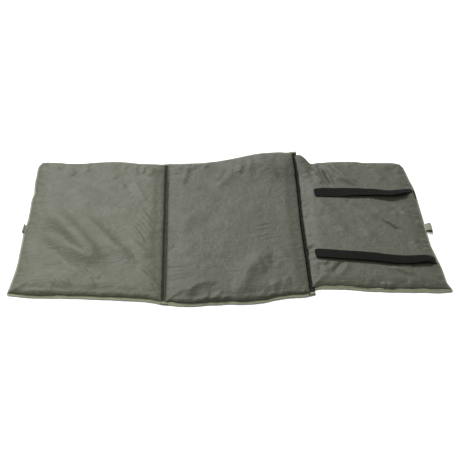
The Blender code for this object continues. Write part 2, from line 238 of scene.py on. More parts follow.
# ---- materials ----
class Nodes:
    """A short way to write a node material."""

    def __init__(self, name, roughness, sheen=0.0, specular=0.5, sheen_roughness=0.5):
        self.mat = bpy.data.materials.new(name)
        self.mat.use_nodes = True
        self.tree = self.mat.node_tree
        self.shader = self.tree.nodes["Principled BSDF"]
        self.shader.inputs["Roughness"].default_value = roughness
        self.shader.inputs["Sheen Weight"].default_value = sheen
        self.shader.inputs["Sheen Roughness"].default_value = sheen_roughness
        self.shader.inputs["Specular IOR Level"].default_value = specular
        self.coords = self.tree.nodes.new("ShaderNodeTexCoord").outputs["Object"]

    def node(self, kind, inputs=None, **props):
        n = self.tree.nodes.new(kind)
        for k, v in props.items():
            setattr(n, k, v)
        for k, v in (inputs or {}).items():
            if isinstance(v, bpy.types.NodeSocket):
                self.tree.links.new(v, n.inputs[k])
            else:
                n.inputs[k].default_value = v
        return n

    def mapped(self, scale=(1, 1, 1), turn=(0, 0, 0)):
        return self.node(
            "ShaderNodeMapping", {"Vector": self.coords, "Scale": scale, "Rotation": turn}
        ).outputs["Vector"]

    def noise(self, scale, detail=3.0, rough=0.5, vector=None, distortion=0.0):
        return self.node(
            "ShaderNodeTexNoise",
            {"Vector": vector or self.coords, "Scale": scale, "Detail": detail, "Roughness": rough,
             "Distortion": distortion},
        ).outputs["Fac"]

    def wave(self, period_mm, axis, distortion=0.0, turn=(0, 0, 0)):
        """Bands across an axis, one for each period."""
        return self.node(
            "ShaderNodeTexWave",
            {"Vector": self.mapped(turn=turn), "Scale": 1000.0 / period_mm * 0.05 * 2 * math.pi / 2,
             "Distortion": distortion, "Detail": 1.0, "Detail Scale": 1.0},
            wave_type="BANDS",
            bands_direction=axis,
            wave_profile="SIN",
        ).outputs["Fac"]

    def math(self, op, a, b=0.0, clamp=False):
        return self.node("ShaderNodeMath", {0: a, 1: b}, operation=op, use_clamp=clamp).outputs[0]

    def ramp(self, fac, stops):
        n = self.node("ShaderNodeValToRGB", {"Fac": fac})
        e = n.color_ramp.elements
        e[0].position, e[0].color = stops[0][0], (*stops[0][1], 1)
        e[1].position, e[1].color = stops[-1][0], (*stops[-1][1], 1)
        for pos, col in stops[1:-1]:
            new = e.new(pos)
            new.color = (*col, 1)
        return n.outputs["Color"]

    def mix(self, fac, a, b, blend="MIX"):
        n = self.node("ShaderNodeMix", data_type="RGBA", blend_type=blend)
        for i, v in ((0, fac), (6, a), (7, b)):
            if isinstance(v, bpy.types.NodeSocket):
                self.tree.links.new(v, n.inputs[i])
            elif i == 0:
                n.inputs[0].default_value = v
            else:
                n.inputs[i].default_value = (*v, 1)
        return n.outputs[2]

    def bump(self, height, distance_mm, strength=1.0, normal=None):
        inputs = {"Height": height, "Distance": distance_mm * MM, "Strength": strength}
        if normal is not None:
            inputs["Normal"] = normal
        return self.node("ShaderNodeBump", inputs).outputs["Normal"]

    def out(self, colour, rough=None, normal=None):
        self.tree.links.new(colour, self.shader.inputs["Base Color"])
        if rough is not None:
            self.tree.links.new(rough, self.shader.inputs["Roughness"])
        if normal is not None:
            self.tree.links.new(normal, self.shader.inputs["Normal"])
        return self.mat


def shade(c, k):
    return tuple(min(1.0, v * k) for v in c)


def coated_nylon(name, colour, dust=0.06, weave_mm=0.75, gloss=0.24, sheen=0.08):
    """Fine plain-weave nylon with a soft coating: crossing yarns, small crinkles, slow shifts of colour and gloss."""
    m = Nodes(name, 0.6, sheen=sheen, specular=gloss)
    warp_yarn = m.wave(weave_mm, "X", 0.4)
    weft_yarn = m.wave(weave_mm, "Y", 0.4)
    yarns = m.math("MULTIPLY", m.math("ADD", warp_yarn, weft_yarn), 0.5)
    slubs = m.noise(260, 2, 0.5, m.mapped((1, 5, 1)))
    slubs_y = m.noise(260, 2, 0.5, m.mapped((5, 1, 1)))
    crinkle = m.noise(95, 4, 0.62, distortion=0.35)
    crumple = m.noise(30, 3, 0.55, distortion=0.5)
    slow = m.noise(9, 3, 0.5)
    base = m.ramp(slow, [(0.3, shade(colour, 1 - dust)), (0.5, colour), (0.7, shade(colour, 1 + dust))])
    fleck = m.math("MULTIPLY", m.math("ADD", slubs, slubs_y), 0.5)
    flecked = m.mix(0.14, base, m.ramp(fleck, [(0.35, (0.25, 0.25, 0.25)), (0.65, (0.85, 0.85, 0.85))]), "OVERLAY")
    woven = m.mix(
        0.16, flecked, m.ramp(yarns, [(0.2, (0.22, 0.22, 0.22)), (0.8, (0.72, 0.72, 0.72))]), "OVERLAY"
    )
    rough = m.math("ADD", m.math("MULTIPLY", crumple, 0.20), 0.50, True)
    weft = m.noise(1.0, 3, 0.65, m.mapped((14, 160, 1)))
    n = m.bump(crumple, 2.0, 0.9)
    n = m.bump(crinkle, 1.5, 0.9, n)
    n = m.bump(weft, 1.1, 0.9, n)
    n = m.bump(yarns, 0.05, 0.7, n)
    return m.out(woven, rough, n)


def ribbed_tape(name, colour, rib_mm=1.3):
    """Grosgrain edge tape: fine ribs across it, a little fuzz, rubbed lighter in places."""
    m = Nodes(name, 0.78, sheen=0.25, specular=0.25)
    ribs = m.math("MULTIPLY", m.math("ADD", m.wave(rib_mm, "X", 0.3), m.wave(rib_mm, "Y", 0.3)), 0.5)
    fuzz = m.noise(520, 2, 0.6)
    rub = m.noise(34, 4, 0.6)
    base = m.ramp(rub, [(0.32, shade(colour, 0.82)), (0.5, colour), (0.7, shade(colour, 1.16))])
    base = m.mix(0.3, base, m.ramp(ribs, [(0.15, (0.25, 0.25, 0.25)), (0.85, (0.75, 0.75, 0.75))]), "OVERLAY")
    n = m.bump(rub, 0.5, 0.4)
    n = m.bump(ribs, 0.18, 0.8, n)
    n = m.bump(fuzz, 0.08, 0.5, n)
    return m.out(base, m.math("ADD", m.math("MULTIPLY", fuzz, 0.15), 0.7, True), n)


def knitted_elastic(name, colour):
    """Wide black elastic: cords run its length under a knitted face."""
    m = Nodes(name, 0.72, sheen=0.0, specular=0.045)
    cords = m.wave(2.1, "Y", 0.15)
    courses = m.wave(1.0, "X", 0.25)
    fuzz = m.noise(600, 2, 0.6)
    worn = m.noise(22, 4, 0.6)
    base = m.ramp(worn, [(0.3, shade(colour, 0.75)), (0.5, colour), (0.72, shade(colour, 1.5))])
    base = m.mix(0.45, base, m.ramp(cords, [(0.1, (0.2, 0.2, 0.2)), (0.9, (0.78, 0.78, 0.78))]), "OVERLAY")
    n = m.bump(cords, 0.32, 0.9)
    n = m.bump(courses, 0.1, 0.7, n)
    n = m.bump(fuzz, 0.08, 0.5, n)
    return m.out(base, m.math("ADD", m.math("MULTIPLY", worn, 0.2), 0.6, True), n)


def herringbone_webbing(name, colour):
    """Woven webbing: slanting yarns that turn back at the middle of each rib."""
    m = Nodes(name, 0.75, sheen=0.2, specular=0.25)
    zig = m.wave(1.5, "DIAGONAL", 0.4)
    zag = m.wave(1.5, "DIAGONAL", 0.4, (0, 0, math.pi / 2))
    side = m.wave(6.0, "Y")
    twill = m.math(
        "ADD",
        m.math("MULTIPLY", zig, m.math("GREATER_THAN", side, 0.5)),
        m.math("MULTIPLY", zag, m.math("LESS_THAN", side, 0.5)),
    )
    fuzz = m.noise(480, 2, 0.6)
    rub = m.noise(60, 3, 0.6)
    base = m.ramp(rub, [(0.3, shade(colour, 0.8)), (0.5, colour), (0.7, shade(colour, 1.2))])
    base = m.mix(0.4, base, m.ramp(twill, [(0.1, (0.25, 0.25, 0.25)), (0.9, (0.78, 0.78, 0.78))]), "OVERLAY")
    n = m.bump(twill, 0.25, 0.9)
    n = m.bump(fuzz, 0.1, 0.5, n)
    return m.out(base, m.math("ADD", m.math("MULTIPLY", fuzz, 0.15), 0.68, True), n)


def twisted_thread(name, colour):
    m = Nodes(name, 0.6, sheen=0.2, specular=0.4)
    ply = m.wave(0.5, "DIAGONAL")
    tone = m.noise(120, 2, 0.5)
    base = m.ramp(tone, [(0.3, shade(colour, 0.75)), (0.7, shade(colour, 1.3))])
    base = m.mix(0.3, base, m.ramp(ply, [(0.2, (0.3, 0.3, 0.3)), (0.8, (0.75, 0.75, 0.75))]), "OVERLAY")
    return m.out(base, m.math("ADD", m.math("MULTIPLY", tone, 0.2), 0.5, True), m.bump(ply, 0.1, 0.8))


NYLON = (0.0530, 0.0552, 0.0350)
# the three panels are one nylon; their different shades are painted light falloff, the left panel painted brighter and
# the middle and right panels painted darker
COVERS_PAINTED_FALLOFF = {
    "panel_left": coated_nylon("mat_cover_left_painted_lit", shade(NYLON, 0.98)),
    "panel_middle": coated_nylon("mat_cover_middle_painted_shade", shade(NYLON, 0.76)),
    "panel_right": coated_nylon("mat_cover_right_painted_shade", shade(NYLON, 0.84)),
}
# the fold strips are the panels' nylon, darkened as painted shade for the deep crease they lie in; the right strip's
# crease is painted darker than the left's
FOLD_CLOTH_PAINTED_SHADE = {
    "left": coated_nylon("mat_fold_left_painted_shade", shade(NYLON, 0.50), 0.03, gloss=0.06, sheen=0.0),
    "right": coated_nylon("mat_fold_right_painted_shade", shade(NYLON, 0.13), 0.03, gloss=0.05, sheen=0.0),
}
TAPE = ribbed_tape("mat_tape", (0.150, 0.160, 0.098))
ELASTIC = knitted_elastic("mat_elastic", (0.0030, 0.0030, 0.0027))
WEBBING = herringbone_webbing("mat_webbing", (0.150, 0.158, 0.108))
THREAD = twisted_thread("mat_thread", (0.030, 0.031, 0.022))
BAND_THREAD = twisted_thread("mat_band_thread", (0.011, 0.011, 0.010))
TAPE_THREAD = twisted_thread("mat_tape_thread", (0.110, 0.117, 0.075))


# ---- meshes ----
def mesh_object(name, points, faces, material, smooth_shading=True, angle=None):
    """A mesh object from metres and faces of any size, its faces turned outwards."""
    mesh = bpy.data.meshes.new(name)
    mesh.from_pydata(np.asarray(points, float).tolist(), [], [tuple(map(int, f)) for f in faces])
    mesh.update()
    bm = bmesh.new()
    bm.from_mesh(mesh)
    bmesh.ops.recalc_face_normals(bm, faces=bm.faces)
    bm.to_mesh(mesh)
    bm.free()
    mesh.materials.append(material)
    if smooth_shading:
        mesh.shade_smooth()
        if angle:
            mesh.set_sharp_from_angle(angle=math.radians(angle))
    obj = bpy.data.objects.new(name, mesh)
    scene.collection.objects.link(obj)
    return obj


scene = bpy.context.scene


def finer(points, faces, levels=1):
    """One round of smooth subdivision: new points and faces."""
    mesh = bpy.data.meshes.new("work")
    mesh.from_pydata(np.asarray(points, float).tolist(), [], [tuple(map(int, f)) for f in faces])
    obj = bpy.data.objects.new("work", mesh)
    scene.collection.objects.link(obj)
    mod = obj.modifiers.new("subdivide", "SUBSURF")
    mod.levels = mod.render_levels = levels
    bpy.context.view_layer.update()
    got = obj.evaluated_get(bpy.context.evaluated_depsgraph_get()).to_mesh()
    co = np.zeros(len(got.vertices) * 3, np.float32)
    got.vertices.foreach_get("co", co)
    quads = np.zeros(len(got.loops), np.int32)
    got.loops.foreach_get("vertex_index", quads)
    out = co.reshape(-1, 3).astype(float), quads.reshape(-1, 4)
    bpy.data.objects.remove(obj, do_unlink=True)
    bpy.data.meshes.remove(mesh)
    return out


# ---- folds and puckers in the cloth ----
def ridge(x, y, z, points, height, width, fade=0.3, wide=None):
    """Adds a soft fold along a line of points; a negative height is a valley. A fold may be steeper
    at its back, by the factor wide."""
    pts = np.array(points, float)
    seg = np.diff(pts, axis=0)
    run = np.hypot(seg[:, 0], seg[:, 1])
    start = np.r_[0.0, np.cumsum(run)[:-1]]
    lo, hi = pts.min(0) - 6.0 * width, pts.max(0) + 6.0 * width
    sel = np.nonzero((x > lo[0]) & (x < hi[0]) & (y > lo[1]) & (y < hi[1]))[0]
    if not len(sel):
        return
    px, py = x[sel], y[sel]
    best = np.full(len(sel), 1e9)
    along = np.zeros(len(sel))
    back = np.zeros(len(sel))
    for (ax, ay), (dx, dy), r, s0 in zip(pts[:-1], seg, run, start):
        u = np.clip(((px - ax) * dx + (py - ay) * dy) / (r * r), 0, 1)
        ox, oy = px - ax - u * dx, py - ay - u * dy
        d = np.hypot(ox, oy)
        closer = d < best
        back = np.where(closer, (0.97 * oy - 0.20 * ox) / np.maximum(d, 0.4), back)
        best = np.where(closer, d, best)
        along = np.where(closer, (s0 + u * r) / run.sum(), along)
    w = smooth(along / fade) * smooth((1 - along) / fade)
    if wide is None:
        wide = 1.0 + 1.4 * float(smooth((9.0 - width) / 4.0))
    spread = width * (1.0 + (wide - 1.0) * smooth(0.5 - 0.5 * back))
    z[sel] += height * w * np.exp(-((best / spread) ** 2))


def comb(x, y, z, start, end, inward, count, length, height, width, slant=0.0, seed=1, near=2.0):
    """Gathers along a seam from start to end: small folds that run inward from it."""
    rng = np.random.default_rng(seed)
    a, b = np.array(start, float), np.array(end, float)
    n = np.array(inward, float)
    t = (b - a) / np.hypot(*(b - a))
    for k in range(count):
        at = a + (b - a) * (k + 0.5 + rng.uniform(-0.38, 0.38)) / count
        lean = slant + rng.uniform(-0.25, 0.25)
        way = n + t * lean
        way /= np.hypot(*way)
        far = length * rng.uniform(0.45, 1.3)
        tall = height * rng.uniform(0.35, 1.25)
        bend = t * rng.uniform(-0.12, 0.12) * far
        pts = [at + way * near, at + way * (near + far * 0.5) + bend, at + way * (near + far)]
        ridge(x, y, z, pts, tall, width * rng.uniform(0.7, 1.3), 0.28)


def crumples(x, y, size, turn, stretch, seed):
    """Sharp little creases that wander mostly one way, in patches; size is their spacing."""
    c, s = math.cos(math.radians(turn)), math.sin(math.radians(turn))
    u, v = (x * c + y * s) / (size * stretch), (y * c - x * s) / size
    v = v + 0.9 * noise(u * 0.7, v * 0.35, seed + 1)
    n = noise(u, v, seed)
    patch = smooth(0.5 + 0.9 * noise(x / 75.0, y / 75.0, seed + 2))
    return (np.exp(-((n / 0.22) ** 2)) - 0.35) * patch


def lines(x, y, z, table):
    """A list of folds: (height, width, points, and at times how much wider at the front)."""
    for height, width, pts, *wide in table:
        ridge(x, y, z, pts, height, width, 0.3, *wide)


def relief_left(x, y, u, v, z):
    """x, y: places on the flat panel, for gathers along its seams; u, v: the same places as they lie."""
    # broad slack folds across the panel
    lines(u, v, z, [
        (7.6, 26, [(42, 44), (71, 14), (99, -18), (143, -80), (175, -134), (213, -186)]),
        (2.5, 7.5, [(46, -46), (77, -71), (108, -100), (138, -127), (163, -151), (183, -179)], 3.4),
        (4.3, 12, [(120, 40), (155, -5), (186, -45), (214, -89), (240, -116), (262, -150), (290, -175)], 2.6),
        (2.0, 8, [(262, -70), (277, -94), (299, -123), (317, -147)], 2.6),
        (-1.9, 20, [(20, 0), (50, -80), (110, -150), (150, -196)]),
        (1.2, 24, [(40, 160), (120, 105), (205, 40)]),
        (-0.9, 20, [(60, 205), (150, 160), (260, 60)]),
        (0.8, 5, [(255, 125), (265, 154), (280, 125), (294, 78)]),
        (-0.8, 12, [(44, 150), (70, 130), (96, 134)]),
    ])
    # tension lines beside the fold seam
    for pts, h in (
        ([(259, 4), (288, -34), (316, -86)], 0.75), ([(270, 13), (298, -31), (320, -76)], 0.8),
        ([(258, -11), (281, -45), (304, -94)], 0.8), ([(280, 27), (301, -11), (323, -56)], 0.8),
        ([(281, 51), (302, 12), (319, -17)], 0.8), ([(266, -28), (285, -61), (300, -100)], 0.9),
    ):
        lines(u, v, z, [(h, 2.9, pts), (-0.15 * h, 2.7, [(a + 4.5, b - 1) for a, b in pts])])
    for k in range(6):
        lines(u, v, z, [(0.9 - 0.08 * k, 3.0, [(286 + 6 * k, -168 - 7 * k), (303 + 5 * k, -184 - 8 * k),
                                              (318 + 3 * k, -204 - 8 * k)])])
    # short lines
    lines(u, v, z, [
        (1.2, 5, [(262, 235), (268, 187)]), (1.1, 4.4, [(279, 235), (287, 193)]), (1.2, 4.4, [(303, 232), (299, 183)]),
        (1.0, 4, [(312, 235), (310, 193)]), (0.9, 6, [(44, 241), (63, 214)]), (1.0, 6, [(84, 227), (107, 190)]),
        (0.9, 6, [(122, 237), (144, 207)]), (0.8, 4, [(212, 200), (206, 172)]), (0.9, 4, [(228, 158), (240, 130)]),
        (0.9, 3.4, [(58, -159), (87, -157), (116, -155)]),
        (0.9, 4, [(149, -169), (168, -194), (188, -204), (206, -219)]), (1.0, 4, [(113, -181), (135, -196), (155, -202)]),
        (-0.8, 4, [(45, 52), (36, 20)]), (1.0, 5, [(70, -190), (90, -215), (104, -236)]),
        (0.9, 5, [(100, -190), (122, -216), (140, -240)]), (1.1, 5, [(170, -205), (184, -228), (196, -244)]),
    ])
    comb(x, y, z, (30, -261), (335, -261), (0, 1), 21, 30, 0.45, 3.6, -0.6, 3)
    comb(x, y, z, (60, -242), (215, -242), (0, 1), 9, 30, 0.35, 3.6, -0.9, 4)
    comb(x, y, z, (205, 261), (335, 261), (0, -1), 10, 55, 0.5, 4.0, -0.25, 5)
    comb(x, y, z, (30, 261), (205, 261), (0, -1), 12, 26, 0.6, 4.2, 0.1, 6)
    comb(x, y, z, (9, -240), (9, 235), (1, 0), 30, 16, 0.5, 3.6, 0.1, 7)
    comb(x, y, z, (342, -235), (342, 245), (-1, 0), 26, 18, 0.45, 3.4, 0.35, 8)


def relief_middle(x, y, u, v, z):
    # the pad bends up to the buckled back edge
    lines(u, v, z, [
        (1.6, 5.5, [(590, 259), (616, 224), (640, 195), (658, 184)]), (-1.4, 12, [(627, 252), (652, 238), (679, 245)]),
        (1.1, 4.5, [(573, 274), (572, 230), (570, 191)]), (1.2, 4.5, [(544, 238), (533, 193)]),
        (1.1, 4.2, [(553, 236), (541, 191)]), (1.5, 5.5, [(529, 240), (509, 180), (486, 144), (462, 130)]),
        (-0.8, 6, [(520, 236), (500, 184), (478, 156)]), (1.3, 6, [(407, 246), (397, 188), (382, 120)]),
        (1.0, 5, [(371, 232), (361, 181)]), (-0.7, 8, [(420, 236), (410, 190), (398, 140)]),
        (1.0, 7, [(398, 150), (420, 142), (446, 134)]), (0.9, 5, [(385, 236), (374, 196)]),
    ])
    # the long fold from the front edge and the puckers beside it
    lines(u, v, z, [
        (3.2, 16, [(514, -292), (522, -262), (530, -238), (547, -192), (568, -152), (600, -108)]),
        (1.0, 8.9, [(506, -280), (519, -238), (538, -192), (560, -146)]),
        (-0.8, 14, [(575, -240), (592, -190), (620, -150)]),
        (1.3, 4.6, [(598, -115), (588, -144), (593, -173), (612, -173), (624, -150)]),
        (1.3, 4.6, [(572, -155), (576, -184), (585, -203)]), (1.2, 6, [(613, -97), (631, -127), (647, -147)]),
        (1.3, 8, [(593, -249), (605, -231), (620, -225)]), (1.0, 4.4, [(640, -210), (622, -228)]),
        (2.4, 9.5, [(398, -282), (405, -257), (422, -239), (441, -232), (474, -233)]),
        (-0.8, 12, [(412, -276), (430, -262), (470, -258)]),
        (1.4, 4, [(433, -285), (451, -263)]), (1.4, 4, [(454, -281), (484, -256)]), (1.2, 3.6, [(478, -284), (490, -266)]),
        (-1.0, 15, [(430, -150), (463, -147), (501, -156), (537, -172)]),
        (0.9, 14, [(381, -71), (400, -16), (422, 36)]), (-0.8, 16, [(440, -30), (470, 20), (500, 60)]),
        (1.4, 4, [(355, -108), (366, -98), (377, -88)]), (0.6, 18, [(490, 60), (545, 30), (610, 40)]),
    ])
    for pts in (
        [(358, -169), (377, -171), (403, -173)], [(358, -182), (377, -185), (407, -187)],
        [(358, -196), (378, -198), (409, -197)], [(359, -209), (378, -211), (403, -209)],
        [(557, -41), (584, -36), (621, -24)], [(551, -63), (583, -61), (615, -49)],
        [(566, -23), (590, -17), (614, -8)], [(578, -73), (610, -67), (641, -61)],
        [(360, 96), (376, 90), (390, 80)], [(360, 84), (376, 77), (392, 66)], [(361, 72), (378, 64), (390, 54)],
    ):
        lines(u, v, z, [(0.6, 2.8, pts), (-0.3, 2.8, [(a, b - 5) for a, b in pts])])
    comb(x, y, z, (366, 261), (470, 261), (0, -1), 9, 44, 0.8, 4.2, -0.35, 21)
    comb(x, y, z, (470, 261), (676, 261), (0, -1), 13, 30, 0.7, 4.6, 0.15, 22)
    comb(x, y, z, (366, -261), (678, -261), (0, 1), 20, 20, 0.45, 3.8, 0.3, 23)
    comb(x, y, z, (360, -245), (360, 250), (1, 0), 30, 18, 0.5, 3.4, -0.3, 24)
    comb(x, y, z, (684, -245), (684, 200), (-1, 0), 24, 18, 0.45, 3.6, -0.2, 25)


def relief_right(x, y, u, v, z):
    lines(u, v, z, [
        (-3.4, 3.0, [(757, 244), (762, 222), (770, 188), (783, 130)], 1.6), (2.2, 8, [(740, 214), (750, 181), (762, 143)], 1.0),
        (1.2, 4, [(768, 236), (777, 190), (790, 142)]),
        (2.3, 5.2, [(773, 250), (795, 208), (822, 173), (856, 133)]), (-1.1, 4.4, [(781, 247), (803, 208), (828, 176)]),
        (1.1, 4.2, [(790, 246), (811, 210), (834, 180)]), (-1.9, 2.6, [(846, 176), (860, 152), (878, 124)], 1.3),
        (1.2, 12, [(903, 227), (919, 188), (933, 165)]), (-1.1, 12, [(945, 227), (963, 203), (972, 180)]),
        (1.0, 9, [(716, 228), (722, 200), (726, 170)]),
        (1.6, 5.0, [(735, 244), (757, 222), (786, 196), (818, 168), (846, 138)]),
    ])
    # lines across the middle of the panel
    lines(u, v, z, [
        (0.9, 6, [(739, 88), (757, 55), (779, 31)]), (0.9, 7, [(746, 7), (772, -17), (801, -53)]),
        (0.8, 7, [(803, -7), (837, -34), (872, -73)]), (0.8, 7, [(789, 41), (823, 7), (855, -27)]),
        (0.8, 7, [(837, 41), (863, 20), (889, -1)]), (0.8, 6, [(834, -54), (855, -73), (876, -99)]),
        (-1.0, 12, [(760, 70), (800, 20), (850, -50)]), (0.9, 5, [(764, 60), (786, 30), (812, 4), (836, -26)]),
        (0.8, 4.4, [(752, 24), (778, -4), (806, -36)]), (0.8, 4.4, [(812, 66), (836, 44), (866, 24), (892, 12)]),
        (-0.9, 7, [(828, 70), (856, 50), (888, 30)]), (0.8, 4.4, [(776, -30), (800, -58), (828, -88)]),
        (-3.0, 2.6, [(893, 2), (914, -27), (934, -52)], 1.5), (1.0, 4.4, [(900, 6), (920, -20), (941, -46)]),
        (0.9, 3.2, [(942, 49), (977, 30)]), (0.9, 3.2, [(945, 32), (975, 11)]), (0.8, 3.2, [(924, 35), (942, 17)]),
        (0.8, 3.2, [(930, 62), (965, 44)]), (0.7, 3.2, [(905, 52), (930, 38)]),
        (-1.4, 4, [(962, -83), (981, -114)]), (0.9, 5, [(950, -86), (970, -116)]),
        (1.0, 8, [(880, 112), (930, 92), (978, 72)]),
    ])
    # pulled lines round the front band's sewn end
    lines(u, v, z, [
        (1.5, 4, [(703, -86), (708, -110), (718, -126)]), (-1.3, 4, [(702, -98), (708, -120), (716, -134)]),
        (1.2, 4, [(703, -124), (712, -136), (720, -142)]),
        (-1.8, 5, [(771, -158), (752, -182), (738, -202)]), (1.2, 5.4, [(784, -164), (766, -188), (750, -210)]),
        (-1.3, 4, [(743, -159), (729, -171), (719, -178)]), (-1.1, 4, [(717, -159), (717, -192)]),
        (1.0, 4, [(725, -168), (724, -198)]), (1.3, 4, [(878, -178), (906, -191), (940, -212)]),
        (-0.9, 5, [(872, -186), (900, -200), (932, -220)]), (1.0, 4, [(900, -166), (934, -184)]),
        (1.0, 4, [(786, -258), (784, -232)]), (1.0, 4, [(856, -255), (857, -226)]), (1.0, 4, [(871, -255), (871, -228)]),
    ])
    comb(x, y, z, (712, 245), (975, 245), (0, -1), 16, 26, 0.7, 4.2, -0.2, 41)
    comb(x, y, z, (706, -245), (985, -245), (0, 1), 19, 22, 0.4, 4.0, 0.3, 42)
    comb(x, y, z, (991, -235), (991, 225), (-1, 0), 28, 18, 0.8, 3.6, 0.2, 43)
    comb(x, y, z, (700, -235), (700, 120), (1, 0), 22, 16, 0.5, 3.4, -0.25, 44)


# ---- padded panels ----
def stations(a, b, outer_a, outer_b, step):
    """Positions from a to b, closer together beside the seams; a flange is added beyond an outer stitch line."""
    near = [0.0, 1.3, 3.2, 6.0, 9.6]
    inner = np.linspace(a + 14.0, b - 14.0, max(2, int(round((b - a - 28.0) / step)) + 1))
    out = [a + d for d in near] + list(inner) + [b - d for d in reversed(near)]
    if outer_a:
        out = [a - 6.6, a - 2.6] + out
    if outer_b:
        out = out + [b + 2.6, b + 6.6]
    return np.array(out)


class Pad:
    def __init__(self, name, body, nodes, x0, x1, half, outer_left, outer_right, relief, seed, rolls, slack, hugs=()):
        self.name, self.body, self.nodes, self.relief = name, body, nodes, relief
        self.a = x0 + (STITCH_IN if outer_left else 0.4)
        self.b = x1 - (STITCH_IN if outer_right else 0.4)
        self.c = half - STITCH_IN
        self.rolls, self.slack, self.hugs = rolls, slack, hugs
        self.weave = [
            (-36, 3.4, 15.0, 0.34, seed + 41), (4, 4.5, 11.0, 0.34, seed + 42), (78, 4.0, 11.0, 0.30, seed + 43),
            (-60, 2.6, 9.0, 0.22, seed + 44),
        ]
        step = 5.2
        xs = stations(self.a, self.b, outer_left, outer_right, step)
        ys = stations(-self.c, self.c, True, True, step)
        gx, gy = np.meshgrid(xs, ys, indexing="ij")
        nx, ny = gx.shape
        d = self.inside(gx, gy)
        top = np.arange(nx * ny).reshape(nx, ny)
        rim = np.zeros((nx, ny), bool)
        rim[0], rim[-1], rim[:, 0], rim[:, -1] = True, True, True, True
        low = top.copy()
        low[~rim] = nx * ny + np.arange((~rim).sum())
        wob = 0.35 * noise(gx / 7.0, gy / 7.0, seed) * smooth(d / 5.0) * np.exp(-np.maximum(d, 0) / 26.0)
        zt = self.top(d) + wob
        zb = self.bottom(d)
        zt[rim] = SEAM_Z
        self.flat = np.concatenate(
            [
                np.stack([gx.ravel(), gy.ravel(), zt.ravel()], 1),
                np.stack([gx[~rim], gy[~rim], zb[~rim]], 1),
            ]
        )
        faces = []
        for grid, flip in ((top, False), (low, True)):
            q = np.stack([grid[:-1, :-1], grid[1:, :-1], grid[1:, 1:], grid[:-1, 1:]], -1).reshape(-1, 4)
            faces.append(q[:, ::-1] if flip else q)
        self.faces = np.concatenate(faces)
        self.upper = nx * ny
        dist = np.concatenate([d.ravel(), d[~rim]])
        is_top = np.arange(len(self.flat)) < self.upper
        self.pin = (dist < 0.7) | (~is_top & (dist > 12.0))
        self.ease = np.where(is_top, np.exp(-np.maximum(dist - 1.0, 0) / 17.0), 0.0)

    def inside(self, x, y):
        """Distance in from the stitch line, rounded where two sides meet; negative on the flange."""
        dx = np.minimum(x - self.a, self.b - x)
        dy = self.c - np.abs(y)
        flat = np.minimum(dx, dy)
        pos = (dx > 0) & (dy > 0)
        sx, sy = np.where(pos, dx, 1.0), np.where(pos, dy, 1.0)
        return np.where(pos, (sx**-3.5 + sy**-3.5) ** (-1 / 3.5), flat)

    @staticmethod
    def top(d):
        e = np.maximum(d, 0.0)
        return SEAM_Z + 0.35 + 6.7 * (1 - np.exp(-((e / 2.7) ** 0.95))) + 1.1 * (1 - np.exp(-e / 60.0))

    @staticmethod
    def bottom(d):
        e = np.maximum(d, 0.0)
        return SEAM_Z - 0.35 - 4.25 * (1 - np.exp(-e / 3.6))

    def start(self):
        mesh = bpy.data.meshes.new(self.name + "_cloth")
        mesh.from_pydata((self.flat * MM).tolist(), [], self.faces.tolist())
        self.obj = bpy.data.objects.new(self.name + "_cloth", mesh)
        scene.collection.objects.link(self.obj)
        pins = self.obj.vertex_groups.new(name="pin")
        pins.add(np.nonzero(self.pin)[0].tolist(), 1.0, "REPLACE")
        ease = self.obj.vertex_groups.new(name="ease")
        for k in range(1, 21):
            at = np.nonzero(np.round(self.ease * 20) == k)[0].tolist()
            if at:
                ease.add(at, k / 20, "REPLACE")
        mod = self.obj.modifiers.new("Cloth", "CLOTH")
        s = mod.settings
        s.quality = 5
        s.mass = 0.15
        s.tension_stiffness, s.compression_stiffness, s.shear_stiffness = 18, 18, 6
        s.bending_stiffness = 0.06
        s.tension_damping = s.compression_damping = 6
        s.shear_damping = 4
        s.bending_damping = 0.5
        s.air_damping = 2.0
        s.vertex_group_mass = "pin"
        s.pin_stiffness = 1.0
        s.use_pressure = True
        s.uniform_pressure_force = 2.2
        s.effector_weights.gravity = 0.0
        s.vertex_group_shrink = "ease"
        s.shrink_min, s.shrink_max = 0.0, -0.075
        mod.collision_settings.use_collision = False
        mod.collision_settings.use_self_collision = False
        mod.point_cache.frame_start, mod.point_cache.frame_end = 1, 40

    def read(self):
        got = self.obj.evaluated_get(bpy.context.evaluated_depsgraph_get()).to_mesh()
        co = np.zeros(len(got.vertices) * 3, np.float32)
        got.vertices.foreach_get("co", co)
        new = co.reshape(-1, 3).astype(float) / MM
        move = new - self.flat
        up = np.arange(len(new)) < self.upper
        # the foam keeps the cloth from going far
        move[:, 2] = np.where(up, 2.6 * np.tanh(move[:, 2] / 2.6), 1.2 * np.tanh(move[:, 2] / 1.2))
        move[:, :2] = 2.0 * np.tanh(move[:, :2] / 2.0)
        move[self.pin] = 0
        mesh = self.obj.data
        bpy.data.objects.remove(self.obj, do_unlink=True)
        bpy.data.meshes.remove(mesh)
        self.moved = float(np.abs(move).max())
        self.flat = self.flat + move
        self.flat[:, 2] = np.maximum(self.flat[:, 2], 0.35)

    def build(self):
        p, quads = finer(self.flat, self.faces)
        x, y, z = p[:, 0], p[:, 1], p[:, 2].copy()
        d = self.inside(x, y)
        high = z > SEAM_Z + 0.5
        add = np.zeros(len(p))
        lying = lie(np.stack([x, y, z], 1))
        self.relief(x, y, lying[:, 0], lying[:, 1], add)
        add *= self.slack
        add += 1.1 * layered(x / 62.0, y / 62.0, 61, 3) + 0.12 * noise(x / 9.0, y / 9.0, 67)
        for turn, stretch, size, tall, seed in self.weave:
            add += tall * crumples(x, y, size, turn, stretch, seed)
